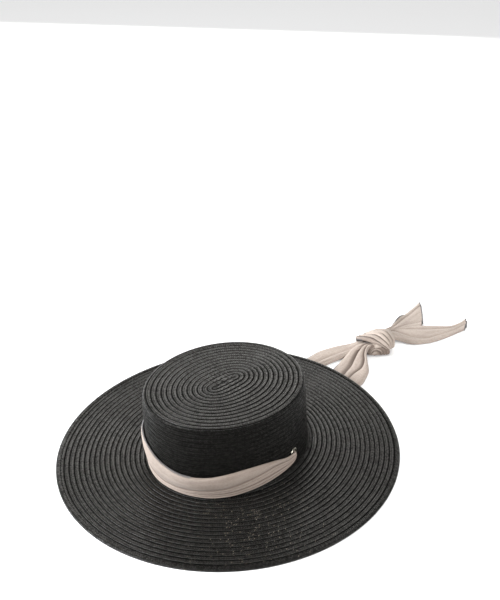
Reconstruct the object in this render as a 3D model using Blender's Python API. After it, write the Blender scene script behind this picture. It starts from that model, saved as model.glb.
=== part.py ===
"""A wide-brimmed hat of sewn straw braid with an oval, flat-topped crown and a knotted scarf.

The hat lies on its brim. The scarf runs round the front of the crown, goes in through an eyelet on
each side, comes out under the back of the brim, and is tied there with two free tails.

Lengths are in metres. +Z is up, -Y is the front of the hat, +X is the wearer's left. The origin is
the centre of the head opening, on the surface that the hat lies on.
"""
import math

import bmesh
import bpy
from mathutils import Vector

# Sewn braid
WALL = 0.002
ROW = 0.00586
ROW_RELIEF = 0.0005
SEGMENTS = 36
GAP = 0.0003
PROBE_ANGLE = math.radians(0.05)
PROBE_HEIGHT = 0.001

# Crown
BASE_WIDTH = 0.1705
BASE_LENGTH = 0.2035
TIP_WIDTH = 0.166
TIP_LENGTH = 0.199
CROWN_HEIGHT = 0.095
CROWN_LEAN = 0.013
BACK_CLEARANCE = 0.001
TIP_EDGE_RADIUS = 0.0045
FOOT_RADIUS = 0.006

# Brim
BRIM_WIDTH = 0.1114
BRIM_LIFT = 0.0115
BRIM_LIFT_ANGLE = math.radians(123)
BRIM_LIFT_SPREAD = math.radians(51)
BRIM_UNDER_STEPS = 6

# Eyelets
EYELET_ANGLE = math.radians(13.5)
EYELET_HEIGHT = 0.0235
EYELET_BORE_RADIUS = 0.0042
EYELET_BARREL_WALL = 0.0006
EYELET_FLANGE_WIDTH = 0.0028
EYELET_WASHER_WIDTH = 0.0022
EYELET_METAL = 0.0008
EYELET_CREST = (0.2, 0.6)
EYELET_SEGMENTS = 16
HOLE_CUT_LENGTH = 0.016

# Scarf
STACK = 0.0026
BORE_CLEARANCE = 0.0006
LIP_CLEARANCE = 0.001
BUNDLE_TAIL = 0.007
BUNDLE_FIRST_POINT = math.radians(200)
BAND_HEIGHT = 0.034
BAND_STANDOFF = 0.0006
STRAND_REACH = 0.071
STRAND_END_RISE = 0.0025
STRAND_END_DEPTH = 0.011
KNOT_LENGTH = 0.076
KNOT_WIDTH = 0.050
KNOT_HEIGHT = 0.027
KNOT_SIDE = -0.026
KNOT_TURN = math.radians(5)
KNOT_SLANT = 0.011
KNOT_FOLD = 0.0016
KNOT_SEGMENTS = 16
TAIL_SPREAD = 0.050
TAIL_UPPER_LENGTH = 0.122
TAIL_LOWER_LENGTH = 0.130
TAIL_ROOT_RISE = 0.0015
TAIL_ROOT_DEPTH = 0.009
FOLD_SHARE = 0.45
EDGE_SHARE = 0.35
UNDERCUT_SHARE = 0.07
STEPS_PER_ROW = 2

# The band round the front of the crown, from the left eyelet to the right one.
# turn: share of the way round. low, high: its edges above the brim, as shares of BAND_HEIGHT.
# stand: how far it stands off the wall, and depth: how thick it is, as shares of STACK.
# valley_1, valley_2: where its two main folds lie, as shares of its width from the low edge.
BAND_ROWS = (
    # turn, low, high, stand, depth, valley_1, valley_2
    (0.040, 0.28, 0.84, 0.7, 1.3, 0.34, 0.62),
    (0.085, 0.20, 0.96, 0.1, 1.3, 0.30, 0.58),
    (0.135, 0.13, 1.03, 0.0, 1.3, 0.26, 0.54),
    (0.190, 0.08, 1.03, 0.1, 1.3, 0.22, 0.46),
    (0.250, 0.03, 0.96, 0.2, 1.4, 0.18, 0.36),
    (0.310, 0.01, 0.86, 0.4, 1.4, 0.15, 0.28),
    (0.370, 0.01, 0.82, 0.4, 1.3, 0.14, 0.24),
    (0.430, 0.01, 0.84, 0.4, 1.2, 0.12, 0.22),
    (0.500, 0.01, 0.97, 0.6, 1.2, 0.12, 0.88),
    (0.565, 0.02, 1.14, 1.0, 1.2, 0.12, 0.86),
    (0.630, 0.06, 1.24, 1.3, 1.3, 0.14, 0.84),
    (0.700, 0.12, 1.22, 1.0, 1.3, 0.18, 0.80),
    (0.780, 0.16, 1.12, 0.5, 1.3, 0.24, 0.74),
    (0.860, 0.20, 1.00, 0.2, 1.3, 0.30, 0.66),
    (0.920, 0.24, 0.92, 0.2, 1.3, 0.34, 0.62),
    (0.960, 0.30, 0.84, 0.7, 1.3, 0.36, 0.60),
)

# The two strands from the eyelets to the knot. Each row gives the two edges of the cloth.
# across: share of half of BASE_WIDTH. run: -1 to 0 from the hat's centre to the crown's back,
# 0 to 1 under the brim, 1 to 2 from the brim's edge to the knot. rise: height of the underside as
# a share of EYELET_HEIGHT. depth: thickness as a share of STACK.
STRAND_LEFT_ROWS = (
    # left_across, left_run, right_across, right_run, rise, depth, valley_1, valley_2
    (0.690, -0.727, 0.788, -0.644, 0.52, 1.9, 0.35, 0.65),
    (0.563, -0.622, 0.774, -0.533, 0.20, 1.4, 0.35, 0.65),
    (0.422, -0.469, 0.669, -0.361, 0.00, 1.1, 0.33, 0.66),
    (0.235, -0.235, 0.540, -0.155, 0.00, 0.9, 0.30, 0.66),
    (0.082, 0.074, 0.434, 0.128, 0.00, 0.9, 0.30, 0.64),
    (-0.070, 0.390, 0.352, 0.415, 0.00, 1.0, 0.32, 0.62),
    (-0.200, 0.720, 0.317, 0.730, 0.00, 1.2, 0.34, 0.60),
    (-0.287, 1.080, 0.305, 1.050, 0.00, 1.6, 0.36, 0.62),
    (-0.364, 1.450, 0.211, 1.410, 0.00, 2.3, 0.40, 0.66),
    (-0.440, 1.744, -0.035, 1.787, 0.04, 3.3, 0.42, 0.66),
)
STRAND_RIGHT_ROWS = (
    # left_across, left_run, right_across, right_run, rise, depth, valley_1, valley_2
    (-0.788, -0.644, -0.690, -0.727, 0.52, 1.9, 0.35, 0.65),
    (-0.774, -0.533, -0.563, -0.622, 0.20, 1.4, 0.35, 0.65),
    (-0.704, -0.381, -0.481, -0.420, 0.00, 1.0, 0.33, 0.66),
    (-0.716, -0.214, -0.469, -0.194, 0.00, 0.9, 0.30, 0.66),
    (-0.739, 0.092, -0.469, 0.100, 0.00, 0.9, 0.30, 0.64),
    (-0.786, 0.397, -0.475, 0.397, 0.00, 1.0, 0.32, 0.62),
    (-0.803, 0.720, -0.469, 0.720, 0.00, 1.2, 0.34, 0.60),
    (-0.792, 1.100, -0.463, 1.110, 0.00, 1.5, 0.40, 0.70),
    (-0.715, 1.547, -0.440, 1.533, 0.00, 1.9, 0.42, 0.72),
    (-0.674, 1.800, -0.504, 1.787, 0.04, 2.8, 0.42, 0.72),
)
# Where each strand meets the near end of the knot: its edges, as shares of KNOT_WIDTH.
STRAND_ENDS = {"scarf_strand_left": (-0.225, 0.270), "scarf_strand_right": (-0.510, -0.240)}

# The knot, from its near end to its far one. along: share of KNOT_LENGTH from its middle. width and
# height: shares of KNOT_WIDTH and KNOT_HEIGHT. side: shift as a share of KNOT_WIDTH.
KNOT_ROWS = (
    # along, width, height, side
    (-0.50, 0.80, 0.62, -0.12),
    (-0.41, 0.88, 0.78, -0.10),
    (-0.32, 0.90, 0.84, -0.07),
    (-0.24, 0.98, 0.96, -0.03),
    (-0.16, 0.96, 0.94, 0.01),
    (-0.07, 1.02, 1.02, 0.03),
    (0.01, 0.98, 0.98, 0.04),
    (0.10, 1.00, 1.02, 0.03),
    (0.18, 0.94, 0.94, 0.01),
    (0.27, 0.92, 0.94, -0.01),
    (0.35, 0.80, 0.80, -0.03),
    (0.43, 0.72, 0.70, -0.05),
    (0.50, 0.56, 0.50, -0.06),
)

# The two tails, from the knot to their hemmed ends, in the knot's own directions. across: share of
# TAIL_SPREAD to the right of the knot's axis. along: share of the tail's length. rise: height of
# the underside as a share of KNOT_HEIGHT. depth: thickness as a share of STACK.
TAIL_UPPER_ROWS = (
    # left_across, left_along, right_across, right_along, rise, depth, valley_1, valley_2
    (-0.438, 0.141, -0.155, 0.134, 0.05, 2.4, 0.40, 0.70),
    (-0.614, 0.307, -0.143, 0.266, 0.00, 1.7, 0.36, 0.66),
    (-0.746, 0.508, -0.106, 0.375, 0.00, 1.1, 0.30, 0.64),
    (-0.874, 0.734, -0.072, 0.450, 0.00, 0.9, 0.26, 0.62),
    (-0.994, 0.959, -0.052, 0.500, 0.00, 0.8, 0.24, 0.60),
)
TAIL_LOWER_ROWS = (
    # left_across, left_along, right_across, right_along, rise, depth, valley_1, valley_2
    (-0.095, 0.128, 0.580, 0.073, 0.05, 2.6, 0.36, 0.66),
    (-0.052, 0.292, 0.788, 0.219, 0.00, 1.8, 0.34, 0.62),
    (0.146, 0.484, 0.910, 0.431, 0.00, 1.3, 0.30, 0.58),
    (0.452, 0.631, 0.950, 0.603, 0.00, 1.1, 0.28, 0.60),
    (0.626, 0.792, 0.978, 0.751, 0.00, 1.0, 0.30, 0.64),
    (0.650, 1.000, 0.994, 0.862, 0.00, 1.0, 0.34, 0.66),
)
# Where each tail leaves the far end of the knot: its edges, as shares of KNOT_WIDTH.
TAIL_ROOTS = {"scarf_tail_upper": (-0.330, -0.040), "scarf_tail_lower": (-0.020, 0.200)}

# The bundled cloth where it turns out of an eyelet: degrees of turn, and its width and thickness as
# shares of BUNDLE_RADIUS.
BAND_TURN_ROWS = (
    (90, 1.00, 1.00),
    (60, 1.12, 0.92),
    (30, 1.35, 0.80),
    (0, 1.70, 0.62),
)

# Sizes that follow from the ones above
HALF_WIDTH = BASE_WIDTH / 2
HALF_LENGTH = BASE_LENGTH / 2
CROWN_TILT = (STACK + BACK_CLEARANCE) / BASE_LENGTH
TIP_FLAT = TIP_WIDTH / 2 - ROW / 2 - TIP_EDGE_RADIUS
TIP_CURVE = TIP_EDGE_RADIUS * math.pi / 2
SIDE_RUN = CROWN_HEIGHT - TIP_EDGE_RADIUS - FOOT_RADIUS - WALL
FOOT_CURVE = FOOT_RADIUS * math.pi / 2
CROWN_PROFILE_LENGTH = TIP_FLAT + TIP_CURVE + SIDE_RUN + FOOT_CURVE
EYELET_FLANGE_RADIUS = EYELET_BORE_RADIUS + EYELET_FLANGE_WIDTH
EYELET_WASHER_RADIUS = EYELET_BORE_RADIUS + EYELET_WASHER_WIDTH
BUNDLE_RADIUS = EYELET_BORE_RADIUS - BORE_CLEARANCE
KNOT_START = HALF_LENGTH + BRIM_WIDTH + STRAND_REACH


def clear_scene():
    """Start from an empty scene."""
    for old in list(bpy.data.objects):
        bpy.data.objects.remove(old, do_unlink=True)


def make_material(name, colour, roughness, metallic=0.0):
    """A plain finish with the part's colour."""
    material = bpy.data.materials.new(name)
    material.use_nodes = True
    shader = material.node_tree.nodes["Principled BSDF"]
    shader.inputs["Base Color"].default_value = (*colour, 1.0)
    shader.inputs["Roughness"].default_value = roughness
    shader.inputs["Metallic"].default_value = metallic
    material.diffuse_color = (*colour, 1.0)
    return material


def loft(name, rings, material, around=False, sharp=40):
    """Join rings of equally many points into one closed body; around joins the last to the first."""
    mesh = bpy.data.meshes.new(name)
    body = bmesh.new()
    rows = [[body.verts.new(point) for point in ring] for ring in rings]
    count = len(rings[0])
    pairs = list(zip(rows, rows[1:])) + ([(rows[-1], rows[0])] if around else [])
    for lower, upper in pairs:
        for j in range(count):
            k = (j + 1) % count
            body.faces.new((lower[j], lower[k], upper[k], upper[j]))
    if not around:
        body.faces.new(rows[0][::-1])
        body.faces.new(rows[-1])
    bmesh.ops.recalc_face_normals(body, faces=body.faces)
    body.to_mesh(mesh)
    body.free()
    mesh.materials.append(material)
    mesh.shade_smooth()
    mesh.set_sharp_from_angle(angle=math.radians(sharp))
    item = bpy.data.objects.new(name, mesh)
    bpy.context.collection.objects.link(item)
    return item


def mix(first, second, share):
    """The value at a share of the way from one value to another."""
    return first + (second - first) * share


def smooth_rows(rows, steps):
    """Rows of a table with extra rows between them, on a curve through each column."""
    result = []
    for i in range(len(rows) - 1):
        before, start = rows[max(i - 1, 0)], rows[i]
        end, after = rows[i + 1], rows[min(i + 2, len(rows) - 1)]
        for step in range(steps):
            t = step / steps
            result.append(tuple(
                0.5 * (2 * b + (c - a) * t + (2 * a - 5 * b + 4 * c - d) * t * t
                       + (3 * b - a - 3 * c + d) * t ** 3)
                for a, b, c, d in zip(before, start, end, after)))
    return result + [tuple(rows[-1])]


def angles():
    """The directions of the points of a ring of the hat."""
    return [math.tau * j / SEGMENTS for j in range(SEGMENTS)]


def crown_point(angle, inset, up):
    """A point of the crown, inset from its wall at a height above its foot's underside."""
    share = up / CROWN_HEIGHT
    across = mix(BASE_WIDTH, TIP_WIDTH, share) / 2 - inset
    length = mix(BASE_LENGTH, TIP_LENGTH, share) / 2 - inset
    x = across * math.cos(angle)
    y = length * math.sin(angle) - CROWN_LEAN * share
    return Vector((x, y, up + CROWN_TILT * (y + HALF_LENGTH + FOOT_RADIUS)))


def crown_profile(position):
    """Inset, height and outward normal at a length from the core down to the foot's edge."""
    if position < TIP_FLAT:
        return TIP_EDGE_RADIUS + TIP_FLAT - position, CROWN_HEIGHT, 0.0, 1.0
    position -= TIP_FLAT
    if position < TIP_CURVE:
        turn = position / TIP_EDGE_RADIUS
        inset = TIP_EDGE_RADIUS * (1 - math.sin(turn))
        up = CROWN_HEIGHT - TIP_EDGE_RADIUS * (1 - math.cos(turn))
        return inset, up, -math.sin(turn), math.cos(turn)
    position -= TIP_CURVE
    if position < SIDE_RUN:
        return 0.0, CROWN_HEIGHT - TIP_EDGE_RADIUS - position, -1.0, 0.0
    turn = min((position - SIDE_RUN) / FOOT_RADIUS, math.pi / 2)
    inset = -FOOT_RADIUS * (1 - math.cos(turn))
    up = WALL + FOOT_RADIUS * (1 - math.sin(turn))
    return inset, up, -math.cos(turn), math.sin(turn)


def profile_ring(position, depth):
    """A ring of the crown at a length along its profile and a depth under its surface."""
    inset, up, normal_inset, normal_up = crown_profile(position)
    inset -= normal_inset * depth
    up -= normal_up * depth
    return [crown_point(angle, inset, up) for angle in angles()]


def build_crown(material):
    """The crown: flat oval tip, upright side and flared foot, in rows of braid with a plain inside."""
    rows = round(CROWN_PROFILE_LENGTH / ROW)
    outside = [profile_ring(CROWN_PROFILE_LENGTH * i / (2 * rows), ROW_RELIEF if i % 2 == 0 else 0.0)
               for i in range(2 * rows + 1)]
    side = TIP_FLAT + TIP_CURVE
    foot = side + SIDE_RUN
    stops = [0.0, TIP_FLAT / 2, TIP_FLAT, TIP_FLAT + TIP_CURVE / 2, side]
    stops += [mix(side, foot, i / 3) for i in (1, 2, 3)]
    stops += [foot + FOOT_CURVE / 2, CROWN_PROFILE_LENGTH]
    inside = [profile_ring(stop, WALL) for stop in reversed(stops)]
    return loft("crown", outside + inside, material, sharp=60)


def brim_point(angle, out, depth):
    """A point of the brim at a distance out from the crown's wall and a depth under its top."""
    x = (HALF_WIDTH + out) * math.cos(angle)
    y = (HALF_LENGTH + out) * math.sin(angle)
    foot = crown_point(angle, -FOOT_RADIUS, 0.0).z
    off_centre = math.remainder(angle - BRIM_LIFT_ANGLE, math.tau) / BRIM_LIFT_SPREAD
    rim = BRIM_LIFT * math.exp(-off_centre ** 2)
    share = (out - FOOT_RADIUS) / (BRIM_WIDTH - FOOT_RADIUS)
    return Vector((x, y, mix(foot, rim, share) + WALL - depth))


def build_brim(material):
    """The brim: a flat oval sheet in rows of braid, lifted where the scarf comes out."""
    start = FOOT_RADIUS + GAP
    rows = round((BRIM_WIDTH - start) / ROW)
    rings = []
    for i in range(2 * rows + 1):
        out = mix(start, BRIM_WIDTH, i / (2 * rows))
        relief = ROW_RELIEF if i % 2 == 0 else 0.0
        rings.append([brim_point(angle, out, relief) for angle in angles()])
    for i in range(BRIM_UNDER_STEPS + 1):
        out = mix(BRIM_WIDTH, start, i / BRIM_UNDER_STEPS)
        rings.append([brim_point(angle, out, WALL) for angle in angles()])
    return loft("brim", rings, material, around=True, sharp=60)


def eyelet_turns():
    """The directions of the points of an eyelet's ring."""
    return [math.tau * i / EYELET_SEGMENTS for i in range(EYELET_SEGMENTS)]


class EyeletSeat:
    """Where an eyelet sits: its centre on the wall, its directions, and the wall's two faces."""

    def __init__(self, side):
        self.angle = EYELET_ANGLE if side > 0 else math.pi - EYELET_ANGLE
        self.centre = crown_point(self.angle, 0.0, EYELET_HEIGHT)
        back = crown_point(self.angle + side * PROBE_ANGLE, 0.0, EYELET_HEIGHT) - self.centre
        rise = crown_point(self.angle, 0.0, EYELET_HEIGHT + PROBE_HEIGHT) - self.centre
        self.back = back.normalized()
        self.out = (back.cross(rise) * side).normalized()
        self.up = (self.back.cross(self.out) * -side).normalized()
        outer = [self.height_over(*place, 0.0) for place in self.footprint(EYELET_FLANGE_RADIUS)]
        inner = [self.height_over(*place, WALL) for place in self.footprint(EYELET_WASHER_RADIUS)]
        self.face = max(outer) + GAP
        facet_drop = HALF_WIDTH * (1 - math.cos(math.pi / SEGMENTS))
        self.inside = min(inner) - facet_drop - GAP

    def footprint(self, radius):
        """Distances back and up from the eyelet's centre to points under a flange."""
        return [(radius * share * math.cos(turn), radius * share * math.sin(turn))
                for turn in eyelet_turns() for share in (0.0, 0.5, 1.0)]

    def height_over(self, across, rise, depth):
        """Height of the wall over the seat's plane, at a place beside the eyelet's centre."""
        turn = across / math.hypot(HALF_WIDTH * math.sin(self.angle), HALF_LENGTH * math.cos(self.angle))
        point = crown_point(self.angle + turn, depth, EYELET_HEIGHT + rise)
        return (point - self.centre).dot(self.out)

    def place(self, across, rise, height):
        """World point from distances back, up and out from the centre of the eyelet."""
        return self.centre + self.back * across + self.up * rise + self.out * height


def eyelet_ring(seat, radius, height):
    """A round ring about an eyelet's axis, at a height out from the wall's face."""
    return [seat.place(radius * math.cos(turn), radius * math.sin(turn), height) for turn in eyelet_turns()]


def build_eyelet(name, seat, material):
    """A metal eyelet: a barrel through the wall, a rolled flange outside and a washer inside."""
    bore = EYELET_BORE_RADIUS
    barrel = bore + EYELET_BARREL_WALL
    section = (
        (bore, seat.inside - EYELET_METAL),
        (EYELET_WASHER_RADIUS, seat.inside - EYELET_METAL),
        (EYELET_WASHER_RADIUS, seat.inside),
        (barrel, seat.inside),
        (barrel, seat.face),
        (EYELET_FLANGE_RADIUS, seat.face),
        (mix(bore, EYELET_FLANGE_RADIUS, EYELET_CREST[1]), seat.face + EYELET_METAL),
        (mix(bore, EYELET_FLANGE_RADIUS, EYELET_CREST[0]), seat.face + EYELET_METAL),
    )
    rings = [eyelet_ring(seat, radius, height) for radius, height in section]
    return loft(name, rings, material, around=True, sharp=50)


def cut_eyelet_hole(crown, seat, name):
    """Cut the eyelet's hole through the wall of the crown."""
    radius = EYELET_BORE_RADIUS + EYELET_BARREL_WALL + GAP
    ends = (-HOLE_CUT_LENGTH / 2, HOLE_CUT_LENGTH / 2)
    cutter = loft(name, [eyelet_ring(seat, radius, height) for height in ends], crown.data.materials[0])
    cutter.hide_render = True
    cutter.display_type = "WIRE"
    hole = crown.modifiers.new(name, "BOOLEAN")
    hole.operation = "DIFFERENCE"
    hole.solver = "EXACT"
    hole.object = cutter


def fold_section(valley_1, valley_2):
    """A gathered cloth's section: shares across and of the depth, folds on top and a plain underside."""
    valley = 1 - FOLD_SHARE
    top = (
        (0.0, EDGE_SHARE), (valley_1 / 2, 1.0), (valley_1, valley), ((valley_1 + valley_2) / 2, 1.0),
        (valley_2, valley), ((1 + valley_2) / 2, 1.0), (1.0, EDGE_SHARE),
    )
    underside = ((1 - UNDERCUT_SHARE, 0.0), (0.5, 0.0), (UNDERCUT_SHARE, 0.0))
    return top + underside


def bundle_section():
    """A round section with a folded section's points, for the cloth in an eyelet."""
    count = len(fold_section(0.0, 1.0))
    turns = [BUNDLE_FIRST_POINT - math.tau * i / count for i in range(count)]
    return [(math.cos(turn), math.sin(turn)) for turn in turns]


def bore_ring(seat, height, across_way, up_way):
    """The bundled cloth in an eyelet's bore, at a height out from the wall's face."""
    centre = seat.place(0.0, 0.0, height)
    return [centre + across_way * BUNDLE_RADIUS * across + up_way * BUNDLE_RADIUS * rise
            for across, rise in bundle_section()]


def band_turn(seat):
    """Rings of the band where it comes out of an eyelet and turns to the front of the crown."""
    pivot_height = seat.face + EYELET_METAL + GAP
    rings = [bore_ring(seat, (GAP - WALL) / 2, seat.up, seat.back)]
    for degrees, swell, flatten in BAND_TURN_ROWS:
        turn = math.radians(degrees)
        facing = seat.out * math.cos(turn) + seat.back * math.sin(turn)
        pivot = seat.place(-LIP_CLEARANCE - BUNDLE_RADIUS, 0.0, pivot_height)
        half_width, half_depth = BUNDLE_RADIUS * swell, BUNDLE_RADIUS * flatten
        centre = pivot + facing * (LIP_CLEARANCE + half_depth)
        rings.append([centre + seat.up * half_width * across + facing * half_depth * height
                      for across, height in bundle_section()])
    return rings


def wall_ring(angle, bottom, top, stand, depth, valleys):
    """A ring of the band that lies on the crown's wall, clear of its foot."""
    ring = []
    for across, height in fold_section(*valleys):
        up = mix(bottom, top, across)
        foot = max(0.0, 1 - (up - WALL) / FOOT_RADIUS)
        flare = FOOT_RADIUS * (1 - math.sqrt(1 - foot * foot))
        ring.append(crown_point(angle, -(stand + flare + height * depth), up))
    return ring


def build_band(seats, material):
    """The scarf's band round the front of the crown, from eyelet to eyelet."""
    left, right = seats
    sweep = -(math.pi + 2 * EYELET_ANGLE)
    floor = WALL + GAP
    rings = []
    for turn, low, high, stand, depth, *valleys in smooth_rows(BAND_ROWS, STEPS_PER_ROW):
        angle = EYELET_ANGLE + sweep * turn
        bottom, top = floor + low * BAND_HEIGHT, floor + high * BAND_HEIGHT
        rings.append(wall_ring(angle, bottom, top, BAND_STANDOFF + stand * STACK, depth * STACK, valleys))
    return loft("scarf_band", band_turn(left) + rings + band_turn(right)[::-1], material, sharp=50)


def strip_ring(left, right, rise, depth, valleys):
    """A ring of a cloth strip between two points of its edges, folded on top and plain below."""
    return [left.lerp(right, across) + Vector((0, 0, rise + height * depth))
            for across, height in fold_section(*valleys)]


def strand_place(across, run):
    """Plan position of a point of a strand, from the table's across and run."""
    if run < 0:
        y = (1 + run) * HALF_LENGTH
    elif run < 1:
        y = HALF_LENGTH + run * BRIM_WIDTH
    else:
        y = HALF_LENGTH + BRIM_WIDTH + (run - 1) * STRAND_REACH
    return Vector((across * HALF_WIDTH, y, 0.0))


def knot_place(across, along, height=0.0):
    """World point at distances to the right of the knot's axis, along it from its middle, and up."""
    middle = Vector((KNOT_SIDE, KNOT_START + KNOT_LENGTH / 2, 0.0))
    axis = Vector((math.sin(KNOT_TURN), math.cos(KNOT_TURN), 0.0))
    right = Vector((math.cos(KNOT_TURN), -math.sin(KNOT_TURN), 0.0))
    return middle + right * across + axis * along + Vector((0, 0, height))


def build_strand(name, rows, seat, side, material):
    """A strand of the scarf from an eyelet, under the brim's back, to the knot."""
    across_way = seat.back * side
    inside = seat.inside - EYELET_METAL - GAP
    rings = [bore_ring(seat, height, across_way, seat.up)
             for height in (-(WALL + GAP) / 2, inside, inside - BUNDLE_TAIL)]
    for row in smooth_rows(rows, STEPS_PER_ROW):
        left, right = strand_place(*row[0:2]), strand_place(*row[2:4])
        rise, depth = max(row[4], 0.0) * EYELET_HEIGHT, row[5] * STACK
        rings.append(strip_ring(left, right, rise, depth, row[6:8]))
    near = -KNOT_LENGTH / 2 - GAP
    left, right = (knot_place(share * KNOT_WIDTH, near) for share in STRAND_ENDS[name])
    rings.append(strip_ring(left, right, STRAND_END_RISE, STRAND_END_DEPTH, rows[-1][6:8]))
    return loft(name, rings, material, sharp=50)


def build_knot(material):
    """The knot: a wound lump of cloth whose folds run slantwise over it."""
    rings = []
    last = len(KNOT_ROWS) - 1
    for i, (along, width, height, side) in enumerate(KNOT_ROWS):
        fold = KNOT_FOLD / 2 if i % 2 else -KNOT_FOLD / 2
        if i in (0, last):
            fold = 0.0
        slant = KNOT_SLANT * (1 - (2 * along) ** 2)
        ring = []
        for j in range(KNOT_SEGMENTS):
            turn = math.tau * j / KNOT_SEGMENTS
            across = math.cos(turn) * (width * KNOT_WIDTH / 2 + fold)
            top = height * KNOT_HEIGHT + fold
            length = along * KNOT_LENGTH + slant * math.cos(turn)
            ring.append(knot_place(side * KNOT_WIDTH + across, length, top / 2 * (1 + math.sin(turn))))
        rings.append(ring)
    return loft("scarf_knot", rings, material, sharp=35)


def build_tail(name, rows, length, material):
    """A tail of the scarf from the knot to its hemmed end."""
    far = KNOT_LENGTH / 2 + GAP
    left, right = (knot_place(share * KNOT_WIDTH, far) for share in TAIL_ROOTS[name])
    rings = [strip_ring(left, right, TAIL_ROOT_RISE, TAIL_ROOT_DEPTH, rows[0][6:8])]
    for row in smooth_rows(rows, STEPS_PER_ROW):
        left = knot_place(row[0] * TAIL_SPREAD, far + row[1] * length)
        right = knot_place(row[2] * TAIL_SPREAD, far + row[3] * length)
        rise, depth = max(row[4], 0.0) * KNOT_HEIGHT, row[5] * STACK
        rings.append(strip_ring(left, right, rise, depth, row[6:8]))
    return loft(name, rings, material, sharp=50)


def build():
    """Build every piece of the hat."""
    clear_scene()
    straw = make_material("straw_braid", (0.045, 0.045, 0.043), 0.55)
    metal = make_material("eyelet_metal", (0.80, 0.74, 0.62), 0.25, 1.0)
    cloth = make_material("scarf_cloth", (0.63, 0.53, 0.45), 0.8)
    crown = build_crown(straw)
    build_brim(straw)
    seats = (EyeletSeat(1), EyeletSeat(-1))
    for name, seat in zip(("eyelet_left", "eyelet_right"), seats):
        cut_eyelet_hole(crown, seat, name + "_hole")
        build_eyelet(name, seat, metal)
    build_band(seats, cloth)
    build_strand("scarf_strand_left", STRAND_LEFT_ROWS, seats[0], 1, cloth)
    build_strand("scarf_strand_right", STRAND_RIGHT_ROWS, seats[1], -1, cloth)
    build_knot(cloth)
    build_tail("scarf_tail_upper", TAIL_UPPER_ROWS, TAIL_UPPER_LENGTH, cloth)
    build_tail("scarf_tail_lower", TAIL_LOWER_ROWS, TAIL_LOWER_LENGTH, cloth)


build()
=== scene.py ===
"""Sewn-braid hat with a knotted scarf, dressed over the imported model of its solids.

Lengths are in metres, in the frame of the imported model: +Z up, -Y the front of the hat, +X the
wearer's left, and the origin at the centre of the head opening, on the surface the hat lies on.
"""
import math

import bmesh
import bpy
import numpy as np
from bpy.props import (
    FloatProperty,
    FloatVectorProperty,
    IntProperty,
    PointerProperty,
)
from mathutils import Matrix, Vector


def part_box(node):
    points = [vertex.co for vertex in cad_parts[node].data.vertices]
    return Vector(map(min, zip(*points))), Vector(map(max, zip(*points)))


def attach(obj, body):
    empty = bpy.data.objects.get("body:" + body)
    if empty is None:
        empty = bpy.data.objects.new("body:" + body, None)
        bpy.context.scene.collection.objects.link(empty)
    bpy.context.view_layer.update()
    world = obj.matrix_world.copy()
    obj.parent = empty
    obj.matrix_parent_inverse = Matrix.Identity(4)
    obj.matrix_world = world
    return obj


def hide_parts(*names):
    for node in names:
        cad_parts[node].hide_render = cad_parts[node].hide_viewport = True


bl_info = {
    "name": "Sewn Braid Hat",
    "version": (1, 0, 0),
    "blender": (4, 5, 0),
    "location": "3D View > Sidebar > Braid Hat",
    "description": "Dresses a hat's solids with spiral braid, eyelets and a knotted scarf",
    "category": "Object",
}

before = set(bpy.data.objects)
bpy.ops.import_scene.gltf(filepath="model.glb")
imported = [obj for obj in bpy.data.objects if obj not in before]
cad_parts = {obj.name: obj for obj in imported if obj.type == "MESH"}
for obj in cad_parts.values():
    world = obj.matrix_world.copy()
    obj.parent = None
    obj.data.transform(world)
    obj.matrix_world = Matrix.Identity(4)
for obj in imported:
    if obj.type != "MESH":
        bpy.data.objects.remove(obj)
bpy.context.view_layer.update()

# Sizes of the straw. Most are those of the solids. The tip's inset and lip and the crown's bulge
# are the braid's own.
FOOT_RADIUS = 0.006
TIP_EDGE_RADIUS = 0.0028
TIP_INSET_ALL_ROUND = 0.0012
TIP_LIP = 0.0007
TIP_LIP_INSET = 0.0022
TIP_LIP_SPREAD = 0.0022
CROWN_HEIGHT = 0.095
CROWN_LEAN = 0.0137
CROWN_BULGE = 0.004
STRAW_WALL = 0.002
BACK_LIFT = 0.0036
RIM_LIFT = 0.0115
RIM_LIFT_ANGLE = math.radians(123)
RIM_LIFT_SPREAD = math.radians(51)
HALF_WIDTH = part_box("crown")[1].x - FOOT_RADIUS
HALF_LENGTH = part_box("crown")[1].y - FOOT_RADIUS
BRIM_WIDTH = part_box("brim")[1].x - HALF_WIDTH
CROWN_TILT = BACK_LIFT / (2 * HALF_LENGTH)

# The braid's run down the crown, from its core over the tip, its edge, the side and the foot, and
# its run out over the brim
TIP_FLAT = HALF_WIDTH - TIP_INSET_ALL_ROUND - TIP_EDGE_RADIUS
TIP_CURVE = TIP_EDGE_RADIUS * math.pi / 2
SIDE_START = TIP_FLAT + TIP_CURVE
SIDE_RUN = CROWN_HEIGHT - TIP_EDGE_RADIUS - FOOT_RADIUS - STRAW_WALL
FOOT_START = SIDE_START + SIDE_RUN
FOOT_CURVE = FOOT_RADIUS * math.pi / 2
CROWN_RUN = FOOT_START + FOOT_CURVE
BRIM_RUN = BRIM_WIDTH - FOOT_RADIUS

# How the rows of braid are sampled and shaped
CROWN_SEGMENTS = 280
BRIM_SEGMENTS = 400
OUTER_POINTS = 8
INNER_POINTS = 3
MERGE_DISTANCE = 5e-6
ROW_GATHER = 0.11
LAP_EDGE_SHARE = 0.05
CORE_SHARPNESS = 0.3
DULL_RELIEF = 0.4
INNER_RELIEF = 0.6

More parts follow.
